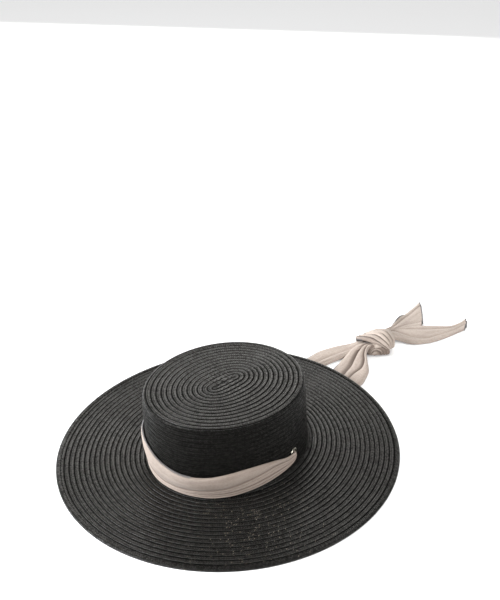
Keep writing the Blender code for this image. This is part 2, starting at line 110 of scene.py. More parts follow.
# The braid's plait, seams, fibres and gloss, and where its few stitches with a painted glint lie. A pair
# gives the least and the most that stitches, fibres or patches make of a seam's width or of the glint.
STRANDS_PER_ROW = 2
PLAIT_PITCH = 0.0026
FIBRE_SCALE = 1100.0
PATCH_SCALE = 28.0
UNDER_STRAND = 0.8
STRAND_SLOPE = 1.6
STRAND_SINK = 0.2
SEAM_SKEW = 1.4
SEAM_ON_DULL = 0.5
SEAM_BY_STITCH = (0.85, 1.15)
GLINT_BY_STITCH = (0.3, 1.0)
GLINT_BY_FIBRE = (0.7, 1.1)
GLINT_BY_PATCH = (0.75, 1.25)
FIBRE_RELIEF = 0.3
STRAW_RELIEF = 0.0006
SIDE_SHINE = 0.18
ROLL_SHINE = 0.6
STRAW_GLOSS_TINT = (1.0, 0.975, 0.94, 1.0)
# How bright the straw is in its seams and hollows, partly painted shade
SHADED_STRAW_SHARE = 0.05
PAINTED_SPARKLE_PLACE = (0.120, -0.087, 0.004)
PAINTED_SPARKLE_SPREAD = 0.105
PAINTED_SPARKLE_CHANCE = 0.985
PAINTED_SPARKLE_GATHER = 0.12
PAINTED_SPARKLE_HEIGHT = 0.96

# Eyelets
EYELET_ANGLE = math.radians(13.5)
EYELET_HEIGHT = 0.0235
EYELET_BORE_RADIUS = 0.0042
EYELET_BARREL_WALL = 0.0006
EYELET_WASHER_RADIUS = 0.0064
EYELET_METAL = 0.0008
EYELET_FACE = 0.0003
EYELET_INSIDE = -0.0028
EYELET_SEGMENTS = 64
EYELET_STEPS = 3
WEAR_SCALE = 600.0
TARNISH_SCALE = 90.0
PROBE_ANGLE = math.radians(0.05)
PROBE_HEIGHT = 0.001
HOLE_CUT_LENGTH = 0.016
HOLE_SEGMENTS = 32
GAP = 0.0003

# The scarf's cloth and the thread of its hem. STACK is the thickness that a table's depth of 1 means.
# A TONE is how much of the cloth's lightness something moves, and a RELIEF how much of its bump.
# SHADOW_SHARE is how bright the darkest tone of the thread and of the eyelets' metal is.
STACK = 0.0026
CLOTH_REST = 0.0004
CLOTH_TUCK = 0.010
MOST_TUCK = 0.85
SECTION_STEPS = 3
STRIP_STEPS = 9
PANEL_POINTS = (
    # share of the way from a panel's start to its fold, height, share of the painted shade at its start
    (0.12, 0.72, 1.0),
    (0.50, 1.00, 0.0),
    (0.86, 0.96, 0.0),
)
TUCK_POINTS = (
    # share of the tuck past the fold, height, painted shade
    (0.0, 0.72, 0.35),
    (0.3, 0.54, 1.0),
    (1.0, 0.50, 1.0),
    (1.0, 0.28, 1.0),
    (0.3, 0.22, 1.0),
)
HEM_POINTS_PER_TURN = 6
HEM_HEIGHT = 0.0006
HEM_INSET = 0.7
THREAD_SCALE = 1500.0
SHADOW_SHARE = 0.6
SLUB_SCALE = 420.0
DRIFT_SCALE = 16.0
WRINKLES_ACROSS = 260
WRINKLES_ALONG = 28
CLOTH_TONE = 0.62
WEAVE_TONE = 0.2
SLUB_TONE = 0.5
DRIFT_TONE = 0.5
WRINKLE_TONE = 0.7
# How far painted shade darkens the cloth
PAINTED_SHADE_TONE = 0.85
WEAVE_RELIEF = 0.4
SLUB_RELIEF = 0.5
WRINKLE_RELIEF = 2.2
CLOTH_RELIEF = 0.0006

# The bundled cloth in an eyelet
BUNDLE_RADIUS = 0.0031
BUNDLE_DROP = 0.0007
BUNDLE_TAIL = 0.007
BUNDLE_ROUNDING = 0.7
LIP_CLEARANCE = 0.0006

# The bundled cloth where it turns out of an eyelet: degrees of turn, its width and thickness as
# shares of BUNDLE_RADIUS, and how far it drops, as a share of BUNDLE_DROP.
BAND_TURN_ROWS = (
    # turn, width, thickness, drop
    (90, 1.00, 0.80, 1.0),
    (60, 1.12, 0.66, 1.6),
    (30, 1.40, 0.52, 2.6),
    (0, 1.90, 0.40, 4.0),
)

# The band round the front of the crown, from the left eyelet to the right one.
# turn: share of the way round. low, high: its edges above the brim, as shares of BAND_HEIGHT.
# stand: how far it stands off the wall, and depth: how thick it is, as shares of STACK.
# folds: where its folds lie, as shares of its width from the low edge. Each fold's painted shade is
# given from the high edge. BAND_SHADE is painted shade over the whole band, and BAND_SHADE_LOSS of it
# fades over BAND_SHADE_END. BAND_HEM is where a hem shows along the top. Both are shares of the length.
BAND_HEIGHT = 0.034
BAND_STANDOFF = 0.0006
BAND_FOLD_SHADES = (1.0, 0.2, 0.9, 0.4)
BAND_SHADE = 0.48
BAND_SHADE_END = (0.42, 0.68)
BAND_SHADE_LOSS = 0.8
BAND_HEM = (0.44, 0.80)
BAND_ROWS = (
    # turn, low, high, stand, depth, folds
    (0.040, 0.27, 0.73, 0.2, 0.9, 0.20, 0.42, 0.62, 0.80),
    (0.085, 0.20, 0.89, 0.0, 1.1, 0.20, 0.40, 0.60, 0.80),
    (0.135, 0.13, 1.00, 0.0, 1.2, 0.17, 0.34, 0.50, 0.65),
    (0.190, 0.08, 1.03, 0.1, 1.3, 0.12, 0.26, 0.40, 0.53),
    (0.250, 0.03, 0.96, 0.2, 1.4, 0.10, 0.20, 0.32, 0.42),
    (0.310, 0.01, 0.86, 0.4, 1.4, 0.09, 0.17, 0.27, 0.36),
    (0.370, 0.01, 0.82, 0.4, 1.3, 0.07, 0.13, 0.21, 0.29),
    (0.430, 0.01, 0.86, 0.3, 1.2, 0.05, 0.09, 0.15, 0.20),
    (0.500, 0.01, 1.02, 0.3, 1.2, 0.04, 0.07, 0.11, 0.15),
    (0.565, 0.02, 1.22, 0.3, 1.2, 0.04, 0.07, 0.11, 0.15),
    (0.630, 0.06, 1.34, 0.4, 1.3, 0.05, 0.09, 0.14, 0.19),
    (0.700, 0.12, 1.32, 0.4, 1.4, 0.07, 0.13, 0.20, 0.28),
    (0.780, 0.16, 1.12, 0.4, 1.3, 0.10, 0.19, 0.30, 0.44),
    (0.860, 0.20, 1.00, 0.2, 1.3, 0.14, 0.26, 0.40, 0.56),
    (0.920, 0.24, 0.92, 0.2, 1.3, 0.16, 0.30, 0.46, 0.62),
    (0.960, 0.30, 0.84, 0.5, 1.3, 0.18, 0.32, 0.48, 0.64),
)

# The two strands from the eyelets to the knot. Each row gives the two edges of the cloth.
# across: share of HALF_WIDTH. run: -1 to 0 from the hat's centre to the crown's back, 0 to 1 under
# the brim, 1 to 2 from the brim's edge to the knot. rise: height of the underside as a share of
# EYELET_HEIGHT. depth: thickness as a share of STACK. valleys: where the folds lie, as shares of
# the width. STRANDS adds how much shade is painted into each strand's folds, and where its hem
# shows, as shares of its length.
STRAND_REACH = 0.071
STRAND_SHADE_ROWS = 3
STRAND_LEFT_ROWS = (
    # left_across, left_run, right_across, right_run, rise, depth, valley_1, valley_2
    (0.690, -0.727, 0.788, -0.644, 0.52, 1.9, 0.35, 0.65),
    (0.563, -0.622, 0.774, -0.533, 0.20, 1.4, 0.35, 0.65),
    (0.422, -0.469, 0.669, -0.361, 0.00, 1.1, 0.33, 0.66),
    (0.235, -0.235, 0.540, -0.155, 0.00, 0.9, 0.30, 0.66),
    (0.082, 0.074, 0.434, 0.128, 0.00, 0.9, 0.30, 0.64),
    (-0.070, 0.390, 0.352, 0.415, 0.00, 1.0, 0.32, 0.62),
    (-0.200, 0.720, 0.317, 0.730, 0.00, 1.2, 0.34, 0.60),
    (-0.262, 0.980, 0.290, 1.100, 0.00, 1.5, 0.38, 0.58),
    (-0.327, 1.181, 0.227, 1.339, 0.00, 1.8, 0.42, 0.64),
    (-0.365, 1.350, 0.112, 1.619, 0.00, 2.1, 0.45, 0.78),
    (-0.399, 1.510, -0.050, 1.828, 0.04, 2.3, 0.50, 0.88),
    (-0.436, 1.748, -0.172, 1.972, 0.18, 2.4, 0.56, 0.88),
    (-0.440, 1.960, -0.224, 2.094, 0.36, 2.2, 0.60, 0.86),
    (-0.395, 2.060, -0.214, 2.153, 0.52, 1.7, 0.58, 0.82),
    (-0.340, 2.260, -0.190, 2.300, 0.52, 1.2, 0.56, 0.80),
)
STRAND_RIGHT_ROWS = (
    # left_across, left_run, right_across, right_run, rise, depth, valley_1, valley_2
    (-0.788, -0.644, -0.690, -0.727, 0.52, 1.9, 0.35, 0.65),
    (-0.774, -0.533, -0.563, -0.622, 0.20, 1.4, 0.35, 0.65),
    (-0.704, -0.381, -0.481, -0.420, 0.00, 1.0, 0.33, 0.66),
    (-0.716, -0.214, -0.469, -0.194, 0.00, 0.9, 0.30, 0.66),
    (-0.739, 0.092, -0.469, 0.100, 0.00, 0.9, 0.30, 0.64),
    (-0.786, 0.397, -0.475, 0.397, 0.00, 1.0, 0.32, 0.62),
    (-0.803, 0.720, -0.469, 0.720, 0.00, 1.2, 0.60, 0.86),
    (-0.845, 1.118, -0.500, 0.955, 0.00, 1.4, 0.66, 0.90),
    (-0.853, 1.518, -0.483, 1.177, 0.00, 1.6, 0.68, 0.92),
    (-0.769, 1.877, -0.454, 1.428, 0.02, 1.8, 0.68, 0.92),
    (-0.665, 2.070, -0.411, 1.669, 0.08, 2.0, 0.68, 0.90),
    (-0.597, 2.148, -0.369, 1.827, 0.20, 1.9, 0.68, 0.88),
    (-0.533, 2.210, -0.328, 1.951, 0.34, 1.7, 0.68, 0.88),
    (-0.480, 2.300, -0.300, 2.100, 0.40, 1.6, 0.68, 0.88),
)
STRANDS = (
    # node, rows, side, painted shade, hem
    ("scarf_strand_left", STRAND_LEFT_ROWS, 1, 1.0, (0.50, 0.71)),
    ("scarf_strand_right", STRAND_RIGHT_ROWS, -1, 0.3, (0.50, 0.69)),
)

# The knot, from its near end to its far one. along: share of KNOT_LENGTH from its middle. width and
# height: shares of KNOT_WIDTH and KNOT_HEIGHT. side: shift as a share of KNOT_WIDTH. Its back is
# lower than its front, by KNOT_BACK_HEIGHT.
KNOT_LENGTH = 0.076
KNOT_WIDTH = 0.050
KNOT_HEIGHT = 0.027
KNOT_SIDE = -0.026
KNOT_TURN = math.radians(5)
KNOT_START = HALF_LENGTH + BRIM_WIDTH + STRAND_REACH
KNOT_BACK_START = math.radians(75)
KNOT_BACK_SPREAD = math.radians(65)
KNOT_BACK_HEIGHT = 0.79
# KNOT_SHADE is painted shade for cloth that goes under the knot, and along the wrap's near edge.
KNOT_SHADE = 0.6
KNOT_ROWS = (
    # along, width, height, side
    (-0.50, 0.80, 0.62, -0.12),
    (-0.41, 0.88, 0.78, -0.10),
    (-0.32, 0.90, 0.84, -0.07),
    (-0.24, 0.98, 0.96, -0.03),
    (-0.16, 0.96, 0.94, 0.01),
    (-0.07, 1.02, 1.02, 0.03),
    (0.01, 0.98, 0.98, 0.04),
    (0.10, 1.00, 1.02, 0.03),
    (0.18, 0.94, 0.94, 0.01),
    (0.27, 0.92, 0.94, -0.01),
    (0.35, 0.80, 0.80, -0.03),
    (0.43, 0.72, 0.70, -0.05),
    (0.50, 0.56, 0.50, -0.06),
)

# The cloth that wraps over the knot. Folds are shares from its near edge. near, far: its two edges,
# as shares of KNOT_LENGTH from the knot's middle. turn: degrees round the knot, in WRAP_TURN from a
# first to a last one by a step.
WRAP_FOLDS = (0.76, 0.58, 0.38, 0.16)
WRAP_TUCK = 0.10
WRAP_TURN = (-50, 216, 4)
WRAP_DEPTH = 0.0036
WRAP_SINK = 0.8
WRAP_EDGE_POINTS = 8
WRAP_HEM = (0.54, 0.75)
WRAP_ROWS = (
    # turn, near, far
    (-50, 0.03, 0.19),
    (-30, -0.04, 0.16),
    (-10, -0.11, 0.11),
    (10, -0.17, 0.11),
    (30, -0.24, 0.17),
    (50, -0.30, 0.22),
    (70, -0.34, 0.26),
    (90, -0.37, 0.26),
    (110, -0.38, 0.24),
    (130, -0.36, 0.24),
    (150, -0.32, 0.28),
    (180, -0.26, 0.28),
    (216, -0.20, 0.26),
)

# The loop of cloth that shows under the wrap's near edge: its outer edge and its middle, as shares
# of KNOT_WIDTH, KNOT_LENGTH and KNOT_HEIGHT. LOBE_FACING is the way that its folds rise.
LOBE_FOLDS = (0.80, 0.62, 0.44)
# How much shade is painted into each of the loop's folds
LOBE_FOLD_SHADES = (1.0, 0.7, 0.25)
LOBE_TUCK = 0.10
# LOBE_SHADE is painted shade over the whole loop; the edge slope and sink set more of it on its outer part,
# under the wrap
LOBE_SHADE = 0.25
LOBE_DEPTH = 0.0034
LOBE_STEPS = 6
LOBE_EDGE_SLOPE = 1.8
LOBE_EDGE_SINK = 0.9
LOBE_FACING = (0.50, -0.45, 0.74)
LOBE_MIDDLE = (0.320, -0.308, 0.03)
LOBE_ROWS = (
    # across, along, height
    (0.220, -0.410, 0.09),
    (0.149, -0.391, 0.11),
    (0.147, -0.360, 0.37),
    (0.200, -0.289, 0.56),
    (0.292, -0.197, 0.63),
    (0.401, -0.109, 0.56),
    (0.482, -0.055, 0.41),
    (0.540, -0.031, 0.20),
    (0.570, -0.078, 0.09),
)

# The cloth inside the wrap. CORE_REACH: its two ends, as shares of KNOT_LENGTH from the knot's
# middle. It is drawn in by CORE_CLOSE from CORE_CLOSE_START of its length on.
CORE_FOLDS = (0.82, 0.62, 0.42, 0.22)
CORE_TUCK = 0.08
CORE_TURN = (math.radians(-60), math.radians(240))
CORE_REACH = (-0.30, 0.14)
CORE_CLOSE_START = 0.88
CORE_CLOSE = 0.8
CORE_DEPTH = 0.0022
CORE_SINK = 2.6
CORE_RINGS = 60

# The two tails, from the knot to their hemmed ends, in the knot's own directions. across: share of
# TAIL_SPREAD to the right of the knot's axis. along: share of the tail's length. rise: height of
# the underside as a share of KNOT_HEIGHT. depth: thickness as a share of STACK. valleys: where the
# folds lie, as shares of the width. TAILS adds each tail's length and its two edges under the wrap,
# as shares of KNOT_WIDTH. TAIL_SIDE_HEM is where the upper tail's side curls up and shows its hem. A
# curl is gone at a FADE-th of the way across, and the end lies in TAIL_WAVES.
TAIL_SPREAD = 0.050
TAIL_SHADE_ROWS = 2
TAIL_ROOT_ALONG = 0.10
TAIL_ROOT_RISE = 0.008
TAIL_ROOT_DEPTH = 0.008
# How much of the folds' painted shade a tail keeps at its root and at its end
TAIL_ROOT_PAINTED_SHADE = 0.5
TAIL_END_PAINTED_SHADE = 0.05
TAIL_END_BOW = 0.005
TAIL_CURL = 0.0015
TAIL_CURL_START = 0.72
TAIL_CURL_FADE = 2.6
TAIL_WAVES = 1.5
TAIL_WAVE_SHARE = 0.1
TAIL_SIDE_CURL = 0.005
TAIL_SIDE_FADE = 5
TAIL_SIDE_HEM = (0.30, 0.62)
TAIL_UPPER_ROWS = (
    # left_across, left_along, right_across, right_along, rise, depth, valley_1, valley_2
    (-0.416, 0.072, -0.154, 0.026, 0.16, 2.0, 0.40, 0.70),
    (-0.542, 0.228, -0.155, 0.162, 0.06, 1.7, 0.36, 0.72),
    (-0.737, 0.438, -0.140, 0.330, 0.02, 1.3, 0.30, 0.76),
    (-0.850, 0.630, -0.062, 0.440, 0.00, 1.0, 0.24, 0.80),
    (-0.965, 0.826, -0.030, 0.510, 0.00, 0.8, 0.20, 0.84),
    (-1.074, 1.009, -0.050, 0.557, 0.00, 0.6, 0.18, 0.86),
)
TAIL_LOWER_ROWS = (
    # left_across, left_along, right_across, right_along, rise, depth, valley_1, valley_2
    (-0.256, 0.051, 0.114, -0.109, 0.20, 2.2, 0.12, 0.30),
    (-0.240, 0.160, 0.240, -0.020, 0.08, 2.2, 0.16, 0.42),
    (-0.155, 0.389, 0.560, 0.065, 0.00, 1.9, 0.26, 0.70),
    (0.036, 0.523, 0.778, 0.214, 0.00, 1.5, 0.28, 0.80),
    (0.274, 0.649, 0.881, 0.364, 0.00, 1.2, 0.28, 0.72),
    (0.512, 0.773, 0.936, 0.578, 0.00, 1.0, 0.30, 0.66),
    (0.584, 0.925, 0.947, 0.724, 0.00, 0.9, 0.30, 0.60),
    (0.550, 1.064, 0.966, 0.839, 0.00, 0.8, 0.30, 0.56),
)
TAILS = (
    # node, rows, length, roots
    ("scarf_tail_upper", TAIL_UPPER_ROWS, 0.122, (-0.330, -0.040)),
    ("scarf_tail_lower", TAIL_LOWER_ROWS, 0.130, (-0.020, 0.200)),
)

# The stage. The light from above fades in from OVERHEAD_START, a share of the way to straight up.
CAMERA_PLACE = (0.56597, -0.55427, 0.6103)
CAMERA_DIRECTIONS = (
    # right, up, back
    (0.701187, 0.712206, 0.033164),
    (-0.349091, 0.30239, 0.886959),
    (0.621669, -0.633501, 0.460657),
)
LIGHT_TARGET = (0.0, 0.05, 0.05)
LIGHTS = (
    # name, property with its power, place, size, colour
    ("key", "key_power", (-1.15, -1.35, 0.6), 1.1, (0.95, 0.975, 1.0)),
    ("fill", "fill_power", (1.75, -0.35, 0.9), 1.4, (1.0, 1.0, 1.0)),
    ("back_panel", "back_power", (-1.87, 1.82, 1.15), 2.2, (1.0, 0.985, 0.95)),
)
OVERHEAD_START = 0.7
OVERHEAD_SPREAD = 0.25
WHITE = (1.0, 1.0, 1.0, 1.0)
FLOOR_SIZE = 60.0
# The floor's faint glow is painted light that washes out the shadows on it
FLOOR_GLOW = 0.12


def math_method(operation):
    """A method of Wire that adds a Math node."""
    return lambda wire, *others: wire.graph.math(operation, wire, *others)


class Wire:
    """A socket of a node tree. Sums and products of wires add the tree's Math nodes."""

    __add__ = __radd__ = math_method("ADD")
    __mul__ = __rmul__ = math_method("MULTIPLY")
    __sub__ = math_method("SUBTRACT")
    __truediv__ = math_method("DIVIDE")
    __pow__ = math_method("POWER")
    __gt__ = math_method("GREATER_THAN")
    __abs__ = math_method("ABSOLUTE")

    def __init__(self, graph, socket):
        self.graph = graph
        self.socket = socket

    def __rsub__(self, other):
        return self.graph.math("SUBTRACT", other, self)

    def __neg__(self):
        return self * -1.0

    def output(self, name):
        """Another output of the node that this wire leaves."""
        return Wire(self.graph, self.socket.node.outputs[name])


class Graph:
    """A node tree that is written as expressions."""

    def __init__(self, tree):
        self.tree = tree
        tree.nodes.clear()

    def add(self, kind, settings=None, inputs=None, output=0):
        """A node with its settings, then its sockets' values or wires; gives one of its outputs."""
        node = self.tree.nodes.new(kind)
        for name, value in (settings or {}).items():
            setattr(node, name, value)
        for name, value in (inputs or {}).items():
            if isinstance(value, Wire):
                self.tree.links.new(value.socket, node.inputs[name])
            else:
                node.inputs[name].default_value = value
        return Wire(self, node.outputs[output]) if node.outputs else node

    def math(self, operation, *values):
        """A Math node on wires or numbers."""
        return self.add("ShaderNodeMath", {"operation": operation}, dict(enumerate(values)))

    def vector(self, x=0.0, y=0.0, z=0.0):
        """Three wires or numbers joined into one."""
        return self.add("ShaderNodeCombineXYZ", inputs={"X": x, "Y": y, "Z": z})


def numeric(operation, plain):
    """A function that adds a Math node where a value is a wire, and works on plain numbers too."""
    def work(*values):
        for value in values:
            if isinstance(value, Wire):
                return value.graph.math(operation, *values)
        return plain(*values)
    return work


sin = numeric("SINE", math.sin)
cos = numeric("COSINE", math.cos)
root = numeric("SQRT", math.sqrt)
exp = numeric("EXPONENT", math.exp)
least = numeric("MINIMUM", np.minimum)
most = numeric("MAXIMUM", np.maximum)
whole = numeric("FLOOR", math.floor)
part = numeric("FRACT", lambda number: number % 1.0)
wrap = numeric("WRAP", lambda value, high, low: low + (value - low) % (high - low))


def clip(value, low=0.0, high=1.0):
    """A number, wire or array held between two limits."""
    return least(most(value, low), high)


def mix(first, second, share):
    """What lies at a share of the way from one number, wire or point to another."""
    return first + (second - first) * share


def ease(share):
    """A smooth step of a share that lies between 0 and 1."""
    return share * share * (3 - 2 * share)


def tip_inset(run):
    """The turn of the tip's edge at a run from the core, and how far it lies inside the wall."""
    edge = clip((run - TIP_FLAT) / TIP_EDGE_RADIUS, 0.0, math.pi / 2)
    return edge, TIP_FLAT - least(run, TIP_FLAT) + TIP_EDGE_RADIUS * (1 - sin(edge))


def crown_place(run, depth, angle):
    """A point of the crown at a run from the core down its profile, under its face, at an angle."""
    edge, inset = tip_inset(run)
    side = clip(run - SIDE_START, 0.0, SIDE_RUN)
    foot = clip((run - FOOT_START) / FOOT_RADIUS, 0.0, math.pi / 2)
    inset = inset - FOOT_RADIUS * (1 - cos(foot)) + sin(edge) * cos(foot) * depth
    face = CROWN_HEIGHT - TIP_EDGE_RADIUS * (1 - cos(edge)) - side - FOOT_RADIUS * sin(foot)
    lip = (run - (TIP_FLAT - TIP_LIP_INSET)) / TIP_LIP_SPREAD
    up = face - (cos(edge) + sin(foot)) * depth + TIP_LIP * exp(-(lip * lip))
    taper = TIP_INSET_ALL_ROUND * face / CROWN_HEIGHT
    round_share = clip(inset / HALF_WIDTH)
    along = sin(angle)
    gathered = along * math.hypot(1.0, CORE_SHARPNESS) / root(along * along + CORE_SHARPNESS ** 2)
    radius = HALF_WIDTH - taper - inset
    core = (HALF_LENGTH - HALF_WIDTH) * mix(along, gathered, round_share * round_share)
    y = radius * along + core - crown_shift(face / CROWN_HEIGHT, along)
    return radius * cos(angle), y, up + CROWN_TILT * (y + HALF_LENGTH + FOOT_RADIUS)


def crown_shift(share, along):
    """How far the crown lies to the front at a share of its height, with its front's slight swell."""
    front = ease(clip(0.5 - along * 0.5))
    return CROWN_LEAN * share + CROWN_BULGE * sin(clip(share) * math.pi) * front


def brim_place(run, depth, angle):
    """A point of the brim at a run out from the crown's foot, under its top, at an angle."""
    out = FOOT_RADIUS + run
    x = (HALF_WIDTH + out) * cos(angle)
    y = (HALF_LENGTH + out) * sin(angle)
    foot = CROWN_TILT * (HALF_LENGTH + FOOT_RADIUS) * (1 + sin(angle))
    turn = wrap(angle - RIM_LIFT_ANGLE, math.pi, -math.pi) / RIM_LIFT_SPREAD
    rim = RIM_LIFT * exp(-(turn * turn))
    return x, y, mix(foot, rim, run / BRIM_RUN) + STRAW_WALL - depth


def crown_girth(run):
    """The length round the crown of a row at a run from the core."""
    return ((HALF_WIDTH + HALF_LENGTH) / 2 - tip_inset(run)[1]) * math.tau


def brim_girth(run):
    """The length round the brim of a row at a run from the crown's foot."""
    return ((HALF_WIDTH + HALF_LENGTH) / 2 + FOOT_RADIUS + run) * math.tau


def crown_shine(run):
    """How pressed and glossy the crown's braid is at a run from the core: its side is dull.

    The tip's gloss fades out from a quarter to half of the way over its edge.
    """
    tip = 1 - clip((run - TIP_FLAT) / TIP_CURVE * 4 - 1.0)
    foot = clip((run - FOOT_START) / FOOT_CURVE)
    return SIDE_SHINE + (1 - SIDE_SHINE) * (tip + foot)


def brim_shine(run):
    """How pressed and glossy the brim's braid is at any run: fully."""
    return 1.0


SOCKET_KINDS = {int: "NodeSocketInt", float: "NodeSocketFloat", type(None): "NodeSocketMaterial"}


def new_tree(name, sockets):
    """A Geometry Nodes tree with a geometry in and out, and named inputs with their values."""
    tree = bpy.data.node_groups.new(name, "GeometryNodeTree")
    tree.interface.new_socket("Geometry", in_out="INPUT", socket_type="NodeSocketGeometry")
    tree.interface.new_socket("Geometry", in_out="OUTPUT", socket_type="NodeSocketGeometry")
    for label, value in sockets.items():
        kind = SOCKET_KINDS[type(value)]
        socket = tree.interface.new_socket(label, in_out="INPUT", socket_type=kind)
        if value is not None:
            socket.default_value = value
    graph = Graph(tree)
    return tree, graph, graph.add("NodeGroupInput")


def end_tree(graph, geometry, material):
    """Finish a tree: make its instances real, give it its material and hand it out."""
    real = graph.add("GeometryNodeRealizeInstances", inputs={"Geometry": geometry})
    done = graph.add("GeometryNodeSetMaterial", inputs={"Geometry": real, "Material": material})
    graph.add("NodeGroupOutput", inputs={"Geometry": done})


def at_each(graph, domain, value):
    """A value worked out at each point or face of a mesh."""
    return graph.add("GeometryNodeFieldOnDomain", {"domain": domain, "data_type": "FLOAT"}, {"Value": value})


def ring_grid(graph, last_ring, segments):
    """A grid of rings of points, with each point's ring and its share of the way round."""
    grid = graph.add("GeometryNodeMeshGrid", inputs={
        "Size X": 1.0, "Size Y": 1.0, "Vertices X": last_ring + 1, "Vertices Y": segments + 1})
    index = at_each(graph, "POINT", graph.add("GeometryNodeInputIndex"))
    ring = whole((index + 0.5) / (segments + 1))
    return grid, ring, (index - ring * (segments + 1)) / segments


def move_to(graph, geometry, place):
    """A geometry with its points moved to a place, given as three wires."""
    return graph.add("GeometryNodeSetPosition", inputs={
        "Geometry": geometry, "Position": graph.vector(*place)})


def smooth_faces(graph, geometry):
    """A geometry with smooth faces."""
    return graph.add("GeometryNodeSetShadeSmooth", inputs={"Geometry": geometry, "Shade Smooth": True})


def keep(graph, geometry, name, value, kind="FLOAT", domain="POINT"):
    """Keep a value on a geometry, for its material to read."""
    return graph.add("GeometryNodeStoreNamedAttribute", {"data_type": kind, "domain": domain},
                     {"Geometry": geometry, "Name": name, "Value": value})


def end_braid(graph, geometry, u, v, gloss, material):
    """Finish a tree of braid: its UV map, its gloss, its closed seams and its smooth faces."""
    mapped = keep(graph, geometry, "UVMap", graph.vector(u, v), "FLOAT2", "CORNER")
    glossed = keep(graph, mapped, "shine", gloss)
    merged = graph.add("GeometryNodeMergeByDistance", inputs={
        "Geometry": glossed, "Distance": MERGE_DISTANCE})
    end_tree(graph, smooth_faces(graph, merged), material)


def braid_tree(name, place, girth, shine):
    """A tree that lays one spiral of braid rows over a hat surface and gives it an inner face."""
    tree, graph, given = new_tree(name, {
        "Rows": 30,
        "Segments": CROWN_SEGMENTS,
        "Run": CROWN_RUN,
        "Groove Depth": 0.0009,
        "Groove Share": 0.18,
        "Lap Step": 0.0003,
        "Row Crown": 0.0002,
        "Core": 1.0,
        "Plait Pitch": PLAIT_PITCH,
        "Material": None,
    })
    rows, groove_depth = given.output("Rows"), given.output("Groove Depth")
    # The rings of points go out over the face, row by row, and come back as the inner face
    last_outer = (rows + 1) * OUTER_POINTS
    last_ring = last_outer + (rows + 1) * INNER_POINTS + 1
    grid, ring, around = ring_grid(graph, last_ring, given.output("Segments"))
    turns = least(ring / OUTER_POINTS, (last_ring - ring) / INNER_POINTS)
    inner = ring > last_outer + 0.5
    # Once round the hat moves each ring on by one row, which makes the rows a spiral
    gathered = turns - sin(turns * math.tau) * ROW_GATHER
    row = clip(gathered + around - 1, 0.0, rows)
    phase = part(row - around)
    # A row is highest in its middle, lies in a groove at its seams and laps over the next one
    off_middle = abs(phase - 0.5) * 2
    groove = (1 - clip(least(phase, (1 - phase) * 2) / given.output("Groove Share"))) ** 2
    lap = given.output("Lap Step") * (1 - phase) * ease(clip(phase / LAP_EDGE_SHARE))
    lap = lap + groove_depth * groove
    core = groove_depth * given.output("Core") * (1 - clip(row * 8))
    pitch = given.output("Run") / rows
    gloss = shine(row * pitch)
    swell = given.output("Row Crown") * off_middle ** 2
    relief = (most(lap, core) + swell) * mix(DULL_RELIEF, 1.0, gloss)
    depth = mix(relief, STRAW_WALL - relief * INNER_RELIEF, inner)
    shaped = move_to(graph, grid, place(row * pitch, depth, around * math.tau + math.pi / 2))
    across = row - around + 1
    face_row = whole(at_each(graph, "FACE", across))
    plaits = whole(girth(most(face_row, 0.5) * pitch) / given.output("Plait Pitch"))
    end_braid(graph, shaped, around * plaits, across, gloss, given.output("Material"))
    return tree


def edge_roll_tree():
    """A tree that runs a flat roll of braid round the edge of the brim."""
    tree, graph, given = new_tree("edge_roll", {
        "Segments": BRIM_SEGMENTS,
        "Section Points": 14,
        "Width": 0.0054,
        "Height": 0.0027,
        "Plaits": 820,
        "Material": None,
    })
    points = given.output("Section Points")
    grid, ring, around = ring_grid(graph, points, given.output("Segments"))
    turn = ring / points * -math.tau
    half_width, half_height = given.output("Width") / 2, given.output("Height") / 2
    run = BRIM_RUN - half_width + cos(turn) * half_width
    depth = STRAW_WALL - half_height - sin(turn) * half_height
    shaped = move_to(graph, grid, brim_place(run, depth, around * math.tau))
    u, v = around * given.output("Plaits"), ring / points * 2
    end_braid(graph, shaped, u, v, ROLL_SHINE, given.output("Material"))
    return tree


def stitch_row_tree():
    """A tree that lays a row of short stitches round the brim, beside its rolled edge."""
    tree, graph, given = new_tree("stitch_row", {
        "Run": BRIM_RUN - 0.0054,
        "Pitch": 0.0045,
        "Length": 0.0024,
        "Thickness": 0.0009,
        "Material": None,
    })
    circle = graph.add("GeometryNodeMeshCircle", inputs={"Vertices": BRIM_SEGMENTS, "Radius": 1.0})
    angle = graph.add("GeometryNodeInputIndex") * (math.tau / BRIM_SEGMENTS)
    placed = move_to(graph, circle, brim_place(given.output("Run"), 0.0, angle))
    line = graph.add("GeometryNodeMeshToCurve", inputs={"Mesh": placed})
    points = graph.add(
        "GeometryNodeCurveToPoints", {"mode": "LENGTH"}, {"Curve": line, "Length": given.output("Pitch")})
    bead = graph.add("GeometryNodeMeshIcoSphere", inputs={"Radius": 0.5, "Subdivisions": 1})
    thickness = given.output("Thickness")
    stitches = graph.add("GeometryNodeInstanceOnPoints", inputs={
        "Points": points,
        "Instance": smooth_faces(graph, bead),
        "Rotation": points.output("Rotation"),
        "Scale": graph.vector(thickness, thickness, given.output("Length"))})
    end_tree(graph, stitches, given.output("Material"))
    return tree


def hem_tree():
    """A tree that turns a thread's path into a round thread."""
    tree, graph, given = new_tree("hem_thread", {
        "Thread Radius": 0.0003,
        "Sides": 5,
        "Material": None,
    })
    line = graph.add("GeometryNodeMeshToCurve", inputs={"Mesh": given.output("Geometry")})
    circle = graph.add("GeometryNodeCurvePrimitiveCircle", inputs={
        "Resolution": given.output("Sides"), "Radius": given.output("Thread Radius")})
    thread = graph.add("GeometryNodeCurveToMesh", inputs={
        "Curve": line, "Profile Curve": circle, "Fill Caps": True})
    end_tree(graph, thread, given.output("Material"))
    return tree


def add_object(name, data):
    """An object in the scene that shows a mesh, a light or a camera."""
    item = bpy.data.objects.new(name, data)
    bpy.context.scene.collection.objects.link(item)
    return item


